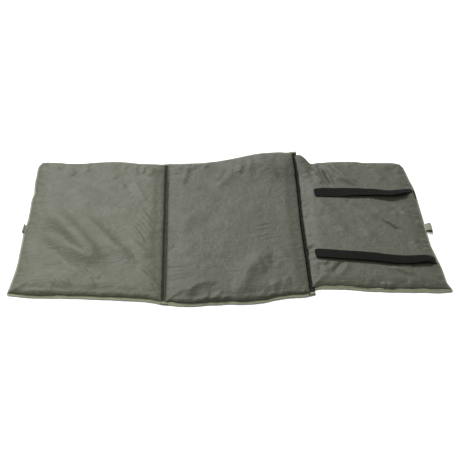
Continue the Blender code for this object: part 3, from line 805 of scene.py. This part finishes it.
        # the foam's front edge stands as a low lip behind the seam
        lip = 0.9 * np.exp(-(((self.c + y - 7.0) / 6.0) ** 2)) * smooth(np.minimum(x - self.a, self.b - x) / 14.0)
        if self.body == "panel_right":
            # this panel thins out towards its front edge
            lip = -2.2 * np.exp(-np.maximum(self.c + y, 0) / 42.0)
        z = np.where(high, z + (add + lip) * smooth(d / 7.0), z)
        # the filled edge rolls out over its seam; inner shoulders may lie over their fold strip
        roll = smooth((z - 5.0) / 1.6) * np.exp(-((np.maximum(z - 8.2, 0) / 3.0) ** 2))
        lap = smooth((z - 5.2) / 2.4)
        for axis, near, sign in (
            (0, x - self.a, -1), (0, self.b - x, 1), (1, self.c + y, -1), (1, self.c - y, 1)
        ):
            along = y if axis == 0 else x
            over = self.rolls[(axis, sign)] + 0.8 * layered(along / 24.0, 7.0 * sign, 91, 2)
            near = np.maximum(near, 0)
            if (axis, sign) in self.hugs:
                out = over * lap * np.exp(-near / 10.0)
            else:
                out = over * roll * np.exp(-near / 15.0)
            if axis == 0:
                x = x + sign * out
            else:
                y = y + sign * out
        under = (z < SEAM_Z - 0.5) & (d > 4)
        z = np.where(under, np.maximum(z + 0.25 * layered(x / 26.0, y / 26.0, 71, 3) * smooth(d / 9.0), 0.3), z)
        flat = np.stack([x, y, z], 1)
        obj = mesh_object(self.name, place(flat), quads, COVERS_PAINTED_FALLOFF[self.body])
        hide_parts(*self.nodes)
        if self.body != "panel_right":
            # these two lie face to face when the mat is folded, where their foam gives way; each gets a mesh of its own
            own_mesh(obj)
        return obj


PADS = [
    Pad("pad_left", "panel_left", ["top_cover_left", "bottom_cover_left", "foam_core_left"],
        0.0, FOLD_LL, HALF, True, False, relief_left, 101, {(0, -1): 8.2, (0, 1): 4.4, (1, -1): 7.6, (1, 1): 4.0}, 2.0, ((1, -1),)),
    Pad("pad_middle", "panel_middle", ["top_cover_middle", "bottom_cover_middle", "foam_core_middle"],
        FOLD_LM, FOLD_RM, HALF, False, False, relief_middle, 102, {(0, -1): 12.6, (0, 1): 5.4, (1, -1): 7.6, (1, 1): 4.0}, 1.7,
        ((0, -1), (1, -1))),
    Pad("pad_right", "panel_right", ["top_cover_right", "bottom_cover_right", "foam_core_right"],
        FOLD_RR, LENGTH, HALF_R, False, True, relief_right, 103, {(0, -1): 11.6, (0, 1): 8.6, (1, -1): 7.6, (1, 1): 4.0}, 2.3,
        ((0, -1), (1, -1))),
]
for pad in PADS:
    pad.start()
for f in range(1, 25):
    scene.frame_set(f)
for pad in PADS:
    pad.read()
scene.frame_set(1)
pad_objects = {pad.body: pad.build() for pad in PADS}
for pad in PADS:
    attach(pad_objects[pad.body], pad.body)


# ---- edge binding ----
# section of the folded tape: (share of its width from the fold, height over the seam plane)
SECTION = [
    (1.0, 0.45), (0.985, 0.92), (0.90, 1.20), (0.74, 1.24), (0.62, 1.04), (0.46, 1.26), (0.24, 1.24), (0.09, 0.98),
    (0.0, 0.40), (0.0, -0.40), (0.09, -0.98), (0.24, -1.24), (0.46, -1.26), (0.62, -1.04), (0.74, -1.24),
    (0.90, -1.20), (0.985, -0.92), (1.0, -0.45),
]
BINDING = 8.6


def tape_piece(name, path, corners, body, nodes, droop=0.0, seed=1):
    """Tape folded over an edge. path gives (edge point, inner point) pairs; droop lowers the fold."""
    rings = []
    for k, (edge, inner) in enumerate(path):
        e, n = np.array(edge, float), np.array(inner, float)
        swell = 1 + 0.10 * float(noise(k * 0.31, seed * 1.7, seed))
        wide = 1 + 0.05 * float(noise(k * 0.12, seed * 2.3, seed + 5))
        side = 0.25 * float(noise(k * 0.45, 4.2, seed + 9))
        for share, h in SECTION:
            p = e + (n - e) * share * wide
            z = SEAM_Z + h * swell + side * share - droop * (1 - share) ** 1.5
            rings.append((p[0], p[1], max(z, 0.25)))
    m, c = len(path), len(SECTION)
    faces = []
    for k in range(m - 1):
        for j in range(c):
            a, b = k * c + j, k * c + (j + 1) % c
            faces.append((a, b, b + c, a + c))
    faces.append(tuple(range(c)))
    faces.append(tuple(range((m - 1) * c, m * c))[::-1])
    obj = mesh_object(name, place(np.array(rings)), faces, TAPE, True, 50)
    if nodes:
        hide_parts(*nodes)
    return obj


def run_points(p0, p1, step=4.0):
    p0, p1 = np.array(p0, float), np.array(p1, float)
    n = max(2, int(round(np.hypot(*(p1 - p0)) / step)) + 1)
    return [p0 + (p1 - p0) * k / (n - 1) for k in range(n)]


def side_path(x0, x1, y):
    """Along a front (y < 0) or back edge, from x0 to x1."""
    s = 1 if y < 0 else -1
    return [((p[0], y), (p[0], y + s * BINDING)) for p in run_points((x0, y), (x1, y))]


def end_path(x_fold, x_edge, half):
    """Round an end panel: from the fold along the front, up the end, back along the back edge to the fold."""
    sx = 1 if x_edge < x_fold else -1
    legs = [((x_fold, -half), (x_edge, -half)), ((x_edge, -half), (x_edge, half)), ((x_edge, half), (x_fold, half))]
    normals = [(0, 1), (sx, 0), (0, -1)]
    path = []
    for (a, b), n in zip(legs, normals):
        for p in run_points(a, b, 3.6):
            inner = np.array(p) + np.array(n, float) * BINDING
            for cx, cy in ((x_edge, -half), (x_edge, half)):
                near = abs(p[0] - cx) + abs(p[1] - cy)
                if near < 11.0:
                    t = 1 - near / 11.0
                    corner = np.array((cx + sx * BINDING, cy - math.copysign(BINDING, cy)))
                    # the mitre: inner points close up on the corner's own
                    slide = np.array(n, float) * BINDING + np.array(p)
                    keep = slide.copy()
                    if n[0] == 0:
                        keep[0] = max(slide[0], corner[0]) if sx > 0 else min(slide[0], corner[0])
                    else:
                        keep[1] = min(slide[1], corner[1]) if cy > 0 else max(slide[1], corner[1])
                    inner = keep
            if path and np.hypot(*(np.array(path[-1][0]) - p)) < 1e-6:
                continue
            path.append((tuple(p), tuple(inner)))
    return path


def stitch_row(name, path, share, material, spacing=3.6, length=2.7, r=0.34, lifts=(1.66, -1.66), seed=1, on=None):
    """Short stitches along a tape path, at that share of its width; lifts are heights over the seam plane."""
    centre = np.array([np.array(e) + (np.array(i) - np.array(e)) * share for e, i in path])
    seg = np.hypot(*np.diff(centre, axis=0).T)
    s = np.r_[0, np.cumsum(seg)]
    rng = np.random.default_rng(seed)
    points, faces = [], []
    for lift in lifts:
        out = 1 if lift > 0 else -1
        at = spacing * 0.5
        while at + length < s[-1]:
            a0, a1 = at + rng.uniform(-0.15, 0.15), at + length + rng.uniform(-0.15, 0.15)
            p0 = np.array([np.interp(a0, s, centre[:, k]) for k in (0, 1)])
            p1 = np.array([np.interp(a1, s, centre[:, k]) for k in (0, 1)])
            t = (p1 - p0) / max(np.hypot(*(p1 - p0)), 1e-6)
            n = np.array([-t[1], t[0]])
            side = rng.uniform(-0.18, 0.18)
            base = len(points)
            z0 = SEAM_Z + lift
            points.append((*(p0 + n * side), z0 - out * 0.30))
            for f in (0.16, 0.5, 0.84):
                c = p0 + (p1 - p0) * f + n * side
                zz = z0 + out * (0.10 if f == 0.5 else 0.0)
                for j in range(5):
                    ang = 2 * math.pi * j / 5
                    points.append((*(c + n * r * math.cos(ang)), zz + r * math.sin(ang)))
            points.append((*(p1 + n * side), z0 - out * 0.30))
            end = len(points) - 1
            for j in range(5):
                k = (j + 1) % 5
                faces.append((base, base + 1 + j, base + 1 + k))
                for ring in (0, 1):
                    o = base + 1 + 5 * ring
                    faces.append((o + j, o + 5 + j, o + 5 + k, o + k))
                faces.append((base + 11 + k, base + 11 + j, end))
            at += spacing
    points = np.array(points)
    if on is not None:
        points[:, 2] += on(points[:, 0], points[:, 1]) - SEAM_Z
    obj = mesh_object(name, (place if on is None else place_bare)(points), faces, material)
    return obj


path_left = end_path(FOLD_LL + 0.3, 0.0, HALF)
path_right = end_path(FOLD_RR - 0.3, LENGTH, HALF_R)
binding = {
    "left": tape_piece("binding_left", path_left, None, "panel_left", ["edge_binding_left"], 1.4, 3),
    "right": tape_piece("binding_right", path_right, None, "panel_right", ["edge_binding_right"], 1.4, 4),
}
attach(binding["left"], "panel_left")
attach(binding["right"], "panel_right")
for side, y, seed in (("front", -HALF, 5), ("back", HALF, 6)):
    path = side_path(FOLD_LM - 0.3, FOLD_RM + 0.3, y)
    obj = tape_piece(f"binding_middle_{side}", path, None, "panel_middle", [f"edge_binding_middle_{side}"], 1.4, seed)
    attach(obj, "panel_middle")
    obj = stitch_row(f"binding_stitches_middle_{side}", path, 0.62, TAPE_THREAD, lifts=(1.1, -1.1), seed=seed)
    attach(obj, "panel_middle")
for side, path in (("left", path_left), ("right", path_right)):
    obj = stitch_row(f"binding_stitches_{side}", path, 0.62, TAPE_THREAD, lifts=(1.1, -1.1), seed=8)
    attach(obj, "panel_" + side)


# ---- fold strips: two layers of cloth between two rows of stitching ----
def strip_half(name, x_a, x_b, x_seam_a, x_seam_b, arch, seed, y_half=HALF - 1.2):
    """Part of a fold strip from x_a to x_b; the strip's own seams are at x_seam_a and x_seam_b."""
    nx, step = 9, 3.4
    ys = np.linspace(-y_half, y_half, int(2 * y_half / step))
    xs = np.linspace(x_a, x_b, nx)
    gx, gy = np.meshgrid(xs, ys, indexing="ij")
    s = np.clip((gx - x_seam_a) / (x_seam_b - x_seam_a), 0, 1)
    free = np.clip(np.sin(np.pi * np.minimum(s, 0.5) / 1.0), 0, 1) ** 0.8
    ends = smooth((y_half - np.abs(gy)) / 10.0)
    crumple = 0.7 * layered(gx / 9.0 + 0.02 * gy, gy / 13.0, seed, 3) + 0.7 * np.abs(noise(gy / 22.0, 3.0, seed + 2))
    slope = -4.2 * np.exp(-(((s - 0.40) / 0.29) ** 2)) + arch * smooth((s - 0.35) / 0.3)
    zt = SEAM_Z + 0.55 + free * ends * (slope + crumple)
    zb = zt - 1.1 - free * ends * (0.3 + 0.5 * np.abs(layered(gx / 9.0, gy / 15.0, seed + 8, 2)))
    zt, zb = np.maximum(zt, 1.7), np.maximum(zb, 0.4)
    zb = np.minimum(zb, zt - 0.7)
    nxx, nyy = gx.shape
    up = np.arange(nxx * nyy).reshape(nxx, nyy)
    dn = up + nxx * nyy
    pts = np.concatenate([np.stack([gx.ravel(), gy.ravel(), z.ravel()], 1) for z in (zt, zb)])
    faces = []
    for g, flip in ((up, False), (dn, True)):
        q = np.stack([g[:-1, :-1], g[1:, :-1], g[1:, 1:], g[:-1, 1:]], -1).reshape(-1, 4)
        faces += (q[:, ::-1] if flip else q).tolist()
    for line_u, line_d in ((up[0], dn[0]), (up[-1], dn[-1]), (up[:, 0], dn[:, 0]), (up[:, -1], dn[:, -1])):
        faces += [(line_u[k], line_u[k + 1], line_d[k + 1], line_d[k]) for k in range(len(line_u) - 1)]
    # the strip takes the darkened cloth: painted shade of its crease
    obj = mesh_object(name, place(pts), faces, FOLD_CLOTH_PAINTED_SHADE["left" if "left" in name else "right"], True, 60)
    return obj


FOLDS = (
    ("left", FOLD_LL, FOLD_LM, "panel_left", "strip_left", "panel_middle", -0.5, 301),
    ("right", FOLD_RM, FOLD_RR, "panel_middle", "strip_right", "panel_right", -0.5, 302),
)
for side, x0, x1, first, strip, last, arch, seed in FOLDS:
    mid = (x0 + x1) / 2
    halves = (
        ("a", x0 - 0.9, mid + 0.05, first, strip, x0 - 0.6, x0 + 4.5),
        ("b", mid - 0.05, x1 + 0.9, strip, last, x1 - 4.5, x1 + 0.6),
    )
    for tag, xa, xb, body_a, body_b, start, end in halves:
        obj = strip_half(f"fold_{side}_{tag}", xa, xb, x0, x1, arch, seed)
        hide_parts(f"fold_strip_{side}_top", f"fold_strip_{side}_bottom")
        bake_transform(obj)
        for edge, y, s2 in (("front", -HALF, 1), ("back", HALF, 2)):
            path = [((p[0], y), (p[0], y - math.copysign(BINDING, y))) for p in run_points((xa, y), (xb, y), 1.4)]
            piece = tape_piece(
                f"fold_binding_{side}_{edge}_{tag}", path, None, strip, [f"strip_binding_{side}_{edge}"], 1.4,
                seed + s2,
            )
            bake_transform(piece)

# rows of stitching along the folds
for tag, x, body, node, half in (
    ("left_outer", FOLD_LL - 0.2, "panel_left", "fold_seam_left_outer", HALF - 2),
    ("left_inner", FOLD_LM + 0.2, "panel_middle", "fold_seam_left_inner", HALF - 2),
    ("right_inner", FOLD_RM - 0.2, "panel_middle", "fold_seam_right_inner", HALF - 2),
    ("right_outer", FOLD_RR + 0.2, "panel_right", "fold_seam_right_outer", HALF_R - 2),
):
    path = [((x, p[1]), (x + 1, p[1])) for p in run_points((x, -half), (x, half), 4.0)]
    obj = stitch_row(f"fold_stitches_{tag}", path, 0.0, THREAD, 3.8, 2.9, 0.42, (0.95, -0.95), seed=17)
    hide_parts(node)
    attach(obj, body)


# ---- elastic bands ----
pad_mesh = pad_objects["panel_right"].data
pad_tree = BVHTree.FromPolygons(
    [tuple(v.co) for v in pad_mesh.vertices], [tuple(f.vertices) for f in pad_mesh.polygons]
)


def pad_height(x, y):
    """Height in mm of the right pad's upper face over a point, or nothing beyond it."""
    hit = pad_tree.ray_cast(world(x, y, 60.0), (0, 0, -1))[0]
    return None if hit is None else hit.z / MM


def band_half(name, keys, x_a, x_b, thick, seed, round_end=False, cap=True):
    """A stretch of flat elastic. keys: x, middle's y, underside's z, width, tilt in degrees, curl of the edges."""
    k = np.array(keys, float)
    fine = {}
    for col in range(1, k.shape[1]):
        fine[col] = eased(list(zip(k[:, 0], k[:, col])), 7)
    xs = np.linspace(x_a, x_b, int((x_b - x_a) / 2.2))
    if x_b > LENGTH - 30:
        xs = np.concatenate([np.linspace(x_a, x_b - 34, int((x_b - x_a - 34) / 2.2)), np.linspace(x_b - 33, x_b, 24)])
    across = np.linspace(-1, 1, 13)
    rings = []
    for x in xs:
        w = float(fine[3](x)) / 2
        if round_end:
            near = max(0.0, (x - k[0, 0]) / 9.0)
            w *= math.sqrt(max(0.0, 1 - (1 - min(1.0, near)) ** 2)) * 0.35 + 0.65 if near < 1 else 1.0
        tilt = math.radians(float(fine[4](x)))
        curl = float(fine[5](x))
        y0 = float(fine[1](x))
        z0 = float(fine[2](x))
        if x < 986:
            # never through the pad
            floor_here = [
                (pad_height(x, y0 + a * w * math.cos(tilt)) or 0.0)
                - (a * math.copysign(1.0, tilt) + 1.0) * w * abs(math.sin(tilt)) - curl * (1 - a * a)
                for a in np.linspace(-1, 1, 9)
            ]
            z0 = max(z0, max(floor_here) + 0.75)
        upper, lower = [], []
        for a in across:
            dz = -curl * (a * a) + 0.35 * float(noise(x / 26.0, a * 1.4, seed + 3))
            yy = y0 + a * w * math.cos(tilt)
            zz = z0 + (a * math.copysign(1.0, tilt) + 1.0) * w * abs(math.sin(tilt)) + dz + curl
            edge = 0.28 if abs(a) == 1 else 0.0
            upper.append((x, yy, zz + thick - edge))
            lower.append((x, yy, zz + edge))
        rings.append(upper + lower[::-1])
    pts = np.array([p for r in rings for p in r])
    c = len(rings[0])
    faces = []
    for r in range(len(rings) - 1):
        for j in range(c):
            a, b = r * c + j, r * c + (j + 1) % c
            faces.append((a, b, b + c, a + c))
    faces.append(tuple(range(c)))
    faces.append(tuple(range((len(rings) - 1) * c, len(rings) * c))[::-1])
    obj = mesh_object(name, place_bare(pts), faces, ELASTIC, True, 50)
    return obj


BAND_KEYS = {
    # x, middle's y, height of the lower edge's underside, width, tilt, curl
    "back": [
        (734, 111.5, 13.0, 33, -2, 0.4), (746, 111.8, 13.3, 36, -1, 0.4), (760, 112, 13.8, 38, 0, 0.4),
        (802, 110.3, 14.4, 38, 0, 0.5), (829, 110.5, 14.8, 37, -6, 0.5), (855, 110.5, 14.5, 36.5, -8, 0.6),
        (882, 110, 14.1, 36, -10, 0.8), (908, 106, 13.9, 36, -14, 1.0), (933, 102, 13.6, 36, -17, 1.2),
        (956, 107, 13.4, 33, -18, 1.4), (973, 112, 13.2, 30, -19, 1.4), (985, 121, 12.6, 20, -14, 1.0),
        (992, 126, 10.2, 14, -6, 0.5), (996.5, 127, 7.0, 12, 0, 0.3),
    ],
    "front": [
        (708, -130, 13.0, 31, -4, 0.4), (722, -132, 13.3, 34, -6, 0.4), (747, -136.5, 13.8, 35, -7, 0.5),
        (778, -140.5, 14.4, 35, -7, 0.5), (814, -144.5, 14.7, 35, -7, 0.6), (849, -148.5, 14.5, 35, -7, 0.6),
        (884, -156, 14.2, 35, -7, 0.8), (919, -160.5, 13.8, 34.5, -8, 0.8), (951, -158.5, 13.4, 32, -10, 1.2),
        (976, -155.5, 12.8, 30, -12, 1.2), (986, -154, 11.6, 30, -9, 0.9), (992, -153.5, 8.2, 30, -4, 0.6),
        (996.5, -153.5, 4.2, 30, 0, 0.4),
    ],
}


def band_top(side):
    """Height of a band's upper face over a point."""
    k = np.array(BAND_KEYS[side], float)
    fine = [eased(list(zip(k[:, 0], k[:, col])), 7) for col in range(1, 6)]

    def height(x, y):
        mid, z0, width, tilt, curl = (f(x) for f in fine)
        a = np.clip((y - mid) / (width / 2 * np.cos(np.radians(tilt))), -1, 1)
        lean = np.where(tilt < 0, -1.0, 1.0)
        return z0 + (a * lean + 1) * width / 2 * np.abs(np.sin(np.radians(tilt))) + curl * (1 - a * a) + 1.5

    return height


for side, tab in (("back", 734.0), ("front", 708.0)):
    keys = BAND_KEYS[side]
    body = "band_" + side
    mid = (tab + 968.0) / 2
    inner = band_half(f"elastic_{side}_inner", keys, tab, mid + 0.05, 1.5, 401, True)
    outer = band_half(f"elastic_{side}_outer", keys, mid - 0.05, 996.5, 1.5, 401)
    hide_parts(f"band_{side}", f"band_{side}_sewn_end")
    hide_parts(f"band_{side}_outer_end")
    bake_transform(inner)
    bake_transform(outer)
    y = keys[1][1]
    square = [(tab + 3.5, y - 11), (tab + 12.5, y - 11.5), (tab + 12.5, y + 11.5), (tab + 3.5, y + 11)]
    stitches = []
    for a, b in zip(square, square[1:] + square[:1]):
        stitches += [((p[0], p[1]), (p[0] + 1, p[1])) for p in run_points(a, b, 3.0)[:-1]]
    stitches.append(stitches[0])
    obj = stitch_row(
        f"elastic_{side}_stitches", stitches, 0.0, BAND_THREAD, 3.2, 2.4, 0.3, (0.22,), 23, band_top(side)
    )
    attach(obj, "panel_right")


# the back band's sewn end, caught full width in the outer edge
rows = []
for k, y in enumerate(np.linspace(82.0, 124.0, 22)):
    t = k / 21.0
    lip = 8.6 + 0.9 * float(noise(k * 0.23, 1.5, 409)) - 2.6 * (1 - smooth(t / 0.3))
    for x, z in ((993.6, lip), (996.6, lip - 1.5), (998.6, lip - 4.4), (997.6, lip - 5.2), (995.2, lip - 2.8), (993.0, lip - 1.3)):
        rows.append((x, y, max(z, 2.6)))
tuck_faces = [(6 * k + j, 6 * k + (j + 1) % 6, 6 * k + 6 + (j + 1) % 6, 6 * k + 6 + j) for k in range(21) for j in range(6)]
tuck_faces += [tuple(range(6)), tuple(range(126, 132))[::-1]]
tuck = mesh_object("elastic_back_tuck", place(np.array(rows)), tuck_faces, ELASTIC, True, 50)
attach(tuck, "panel_right")


# ---- peg loops ----
def peg_loop(name, body, edge, way, y_mid, node, line, shear, rise, seed):
    """25 mm webbing folded into a loop and caught between the two faces of the edge tape.

    line: (distance out, height over the seam) round the loop; shear moves its tip along the edge,
    rise lifts its far side.
    """
    pts = np.array(line, float)
    t = np.r_[0, np.cumsum(np.hypot(*np.diff(pts, axis=0).T))]
    tt = np.linspace(0, t[-1], 61)
    g = np.stack([np.interp(tt, t, pts[:, k]) for k in (0, 1)], 1)
    for _ in range(6):
        g[1:-1] = 0.25 * g[:-2] + 0.5 * g[1:-1] + 0.25 * g[2:]
    d = np.gradient(g, axis=0)
    n = np.stack([-d[:, 1], d[:, 0]], 1) / np.hypot(d[:, 0], d[:, 1])[:, None]
    if n[20] @ (g[20] - g.mean(0)) < 0:
        n = -n
    far_x = g[:, 0].max()
    across = np.linspace(-1, 1, 15)
    th = 1.25
    rings = []
    for k in range(len(g)):
        outer, inner = [], []
        for a in across:
            far = max(0.0, g[k, 0]) / far_x
            yy = y_mid + a * 12.5 + shear * far + 0.5 * far * float(noise(k * 0.11, a * 1.2, seed + 3))
            lift = rise * a * far + 0.3 * far * float(noise(k * 0.2, a * 2, seed))
            edge_in = 0.22 if abs(a) == 1 else 0.0
            for store, off in ((outer, th / 2 - edge_in), (inner, -th / 2 + edge_in)):
                q = g[k] + n[k] * off
                store.append((edge + way * q[0], yy, SEAM_Z + q[1] + lift))
        rings.append(outer + inner[::-1])
    c = len(rings[0])
    points = np.array([p for r in rings for p in r])
    faces = []
    for r in range(len(rings) - 1):
        for j in range(c):
            a, b = r * c + j, r * c + (j + 1) % c
            faces.append((a, b, b + c, a + c))
    faces.append(tuple(range(c)))
    faces.append(tuple(range((len(rings) - 1) * c, len(rings) * c))[::-1])
    obj = mesh_object(name, place(points), faces, WEBBING, True, 60)
    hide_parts(node)
    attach(obj, body)
    return obj


peg_loop(
    "loop_left", "peg_loop_left", 0.0, -1, -30.0, "peg_loop_left",
    [(-6.0, 0.6), (-3.2, 0.9), (-1.4, 2.4), (0.0, 4.6), (1.6, 5.5), (3.2, 4.4), (3.7, 1.8), (3.0, -0.6),
     (1.2, -1.7), (-0.8, -1.4), (-3.0, -0.8), (-6.0, -0.5)],
    1.0, 1.0, 7,
)
peg_loop(
    "loop_right", "peg_loop_right", LENGTH, 1, -26.0, "peg_loop_right",
    [(-6.0, 0.6), (-1.0, 1.1), (2.6, 2.8), (6.4, 4.8), (10.6, 5.4), (13.8, 3.7), (14.6, 1.1), (13.4, -1.4),
     (10.2, -2.6), (6.0, -2.4), (2.2, -1.5), (-1.0, -0.9), (-6.0, -0.5)],
    -4.2, 1.0, 8,
)


# ---- floor, light and camera ----
floor_mesh = bpy.data.meshes.new("floor")
floor_mesh.from_pydata([(-20, -20, 0), (20, -20, 0), (20, 20, 0), (-20, 20, 0)], [], [(0, 1, 2, 3)])
floor = bpy.data.objects.new("floor", floor_mesh)
scene.collection.objects.link(floor)
floor.location.z = -0.0004
pale = Nodes("floor_pale", 0.9, specular=0.0)
floor_mesh.materials.append(
    pale.out(pale.ramp(pale.noise(2.0, 2), [(0.3, (0.90, 0.90, 0.90)), (0.7, (0.92, 0.92, 0.92))]))
)

# a soft dome and a key light from the back, and a weak lamp over the left panel
sky = bpy.data.worlds.new("studio")
scene.world = sky
sky.use_nodes = True
tree = sky.node_tree
direction = tree.nodes.new("ShaderNodeTexCoord").outputs["Generated"]
facing = tree.nodes.new("ShaderNodeVectorMath")
facing.operation = "DOT_PRODUCT"
tree.links.new(direction, facing.inputs[0])
facing.inputs[1].default_value = Vector((-0.14, 0.56, 0.80)).normalized()
spread = tree.nodes.new("ShaderNodeMapRange")
spread.interpolation_type = "SMOOTHSTEP"
tree.links.new(facing.outputs["Value"], spread.inputs["Value"])
spread.inputs["From Min"].default_value, spread.inputs["From Max"].default_value = -0.1, 1.0
spread.inputs["To Min"].default_value, spread.inputs["To Max"].default_value = 0.36, 0.66
tree.nodes["Background"].inputs["Color"].default_value = (1.0, 1.0, 1.0, 1.0)
tree.links.new(spread.outputs["Result"], tree.nodes["Background"].inputs["Strength"])


def area(name, where, aim, size, watts, colour=(1, 1, 1)):
    lamp = bpy.data.lights.new(name, "AREA")
    lamp.shape = "RECTANGLE"
    lamp.size, lamp.size_y = size
    lamp.energy = watts
    lamp.color = colour
    obj = bpy.data.objects.new(name, lamp)
    scene.collection.objects.link(obj)
    obj.location = where
    obj.rotation_euler = (Vector(aim) - Vector(where)).to_track_quat("-Z", "Y").to_euler()
    return obj


lamp = bpy.data.lights.new("key", "SUN")
lamp.energy = 4.1
lamp.angle = math.radians(11)
sun = bpy.data.objects.new("key", lamp)
scene.collection.objects.link(sun)
sun.rotation_euler = Vector((-0.20, 0.70, 0.69)).to_track_quat("Z", "Y").to_euler()
area("side", (-0.62, -0.24, 0.90), (-0.44, -0.08, 0.0), (0.5, 0.5), 5.6)

scene.view_settings.view_transform = "Standard"
scene.view_settings.look = "None"
scene.view_settings.exposure = 0.0
scene.view_settings.gamma = 1.0

yaw, dip, roll = math.radians(3.80), math.radians(38.93), math.radians(-2.12)
look = Vector((math.sin(yaw) * math.cos(dip), math.cos(yaw) * math.cos(dip), -math.sin(dip)))
level = Vector((math.cos(yaw), -math.sin(yaw), 0.0))
down = look.cross(level)
right = level * math.cos(roll) + down * math.sin(roll)
below = down * math.cos(roll) - level * math.sin(roll)
lens = bpy.data.cameras.new("camera")
lens.sensor_width = 36.0
lens.lens = 850.0 / 460.0 * 36.0
lens.clip_start, lens.clip_end = 0.05, 50.0
camera = bpy.data.objects.new("camera", lens)
scene.collection.objects.link(camera)
camera.matrix_world = Matrix.Translation((-0.101, -1.668, 1.332)) @ Matrix(
    (
        (right.x, -below.x, -look.x),
        (right.y, -below.y, -look.y),
        (right.z, -below.z, -look.z),
    )
).to_4x4()
scene.camera = camera
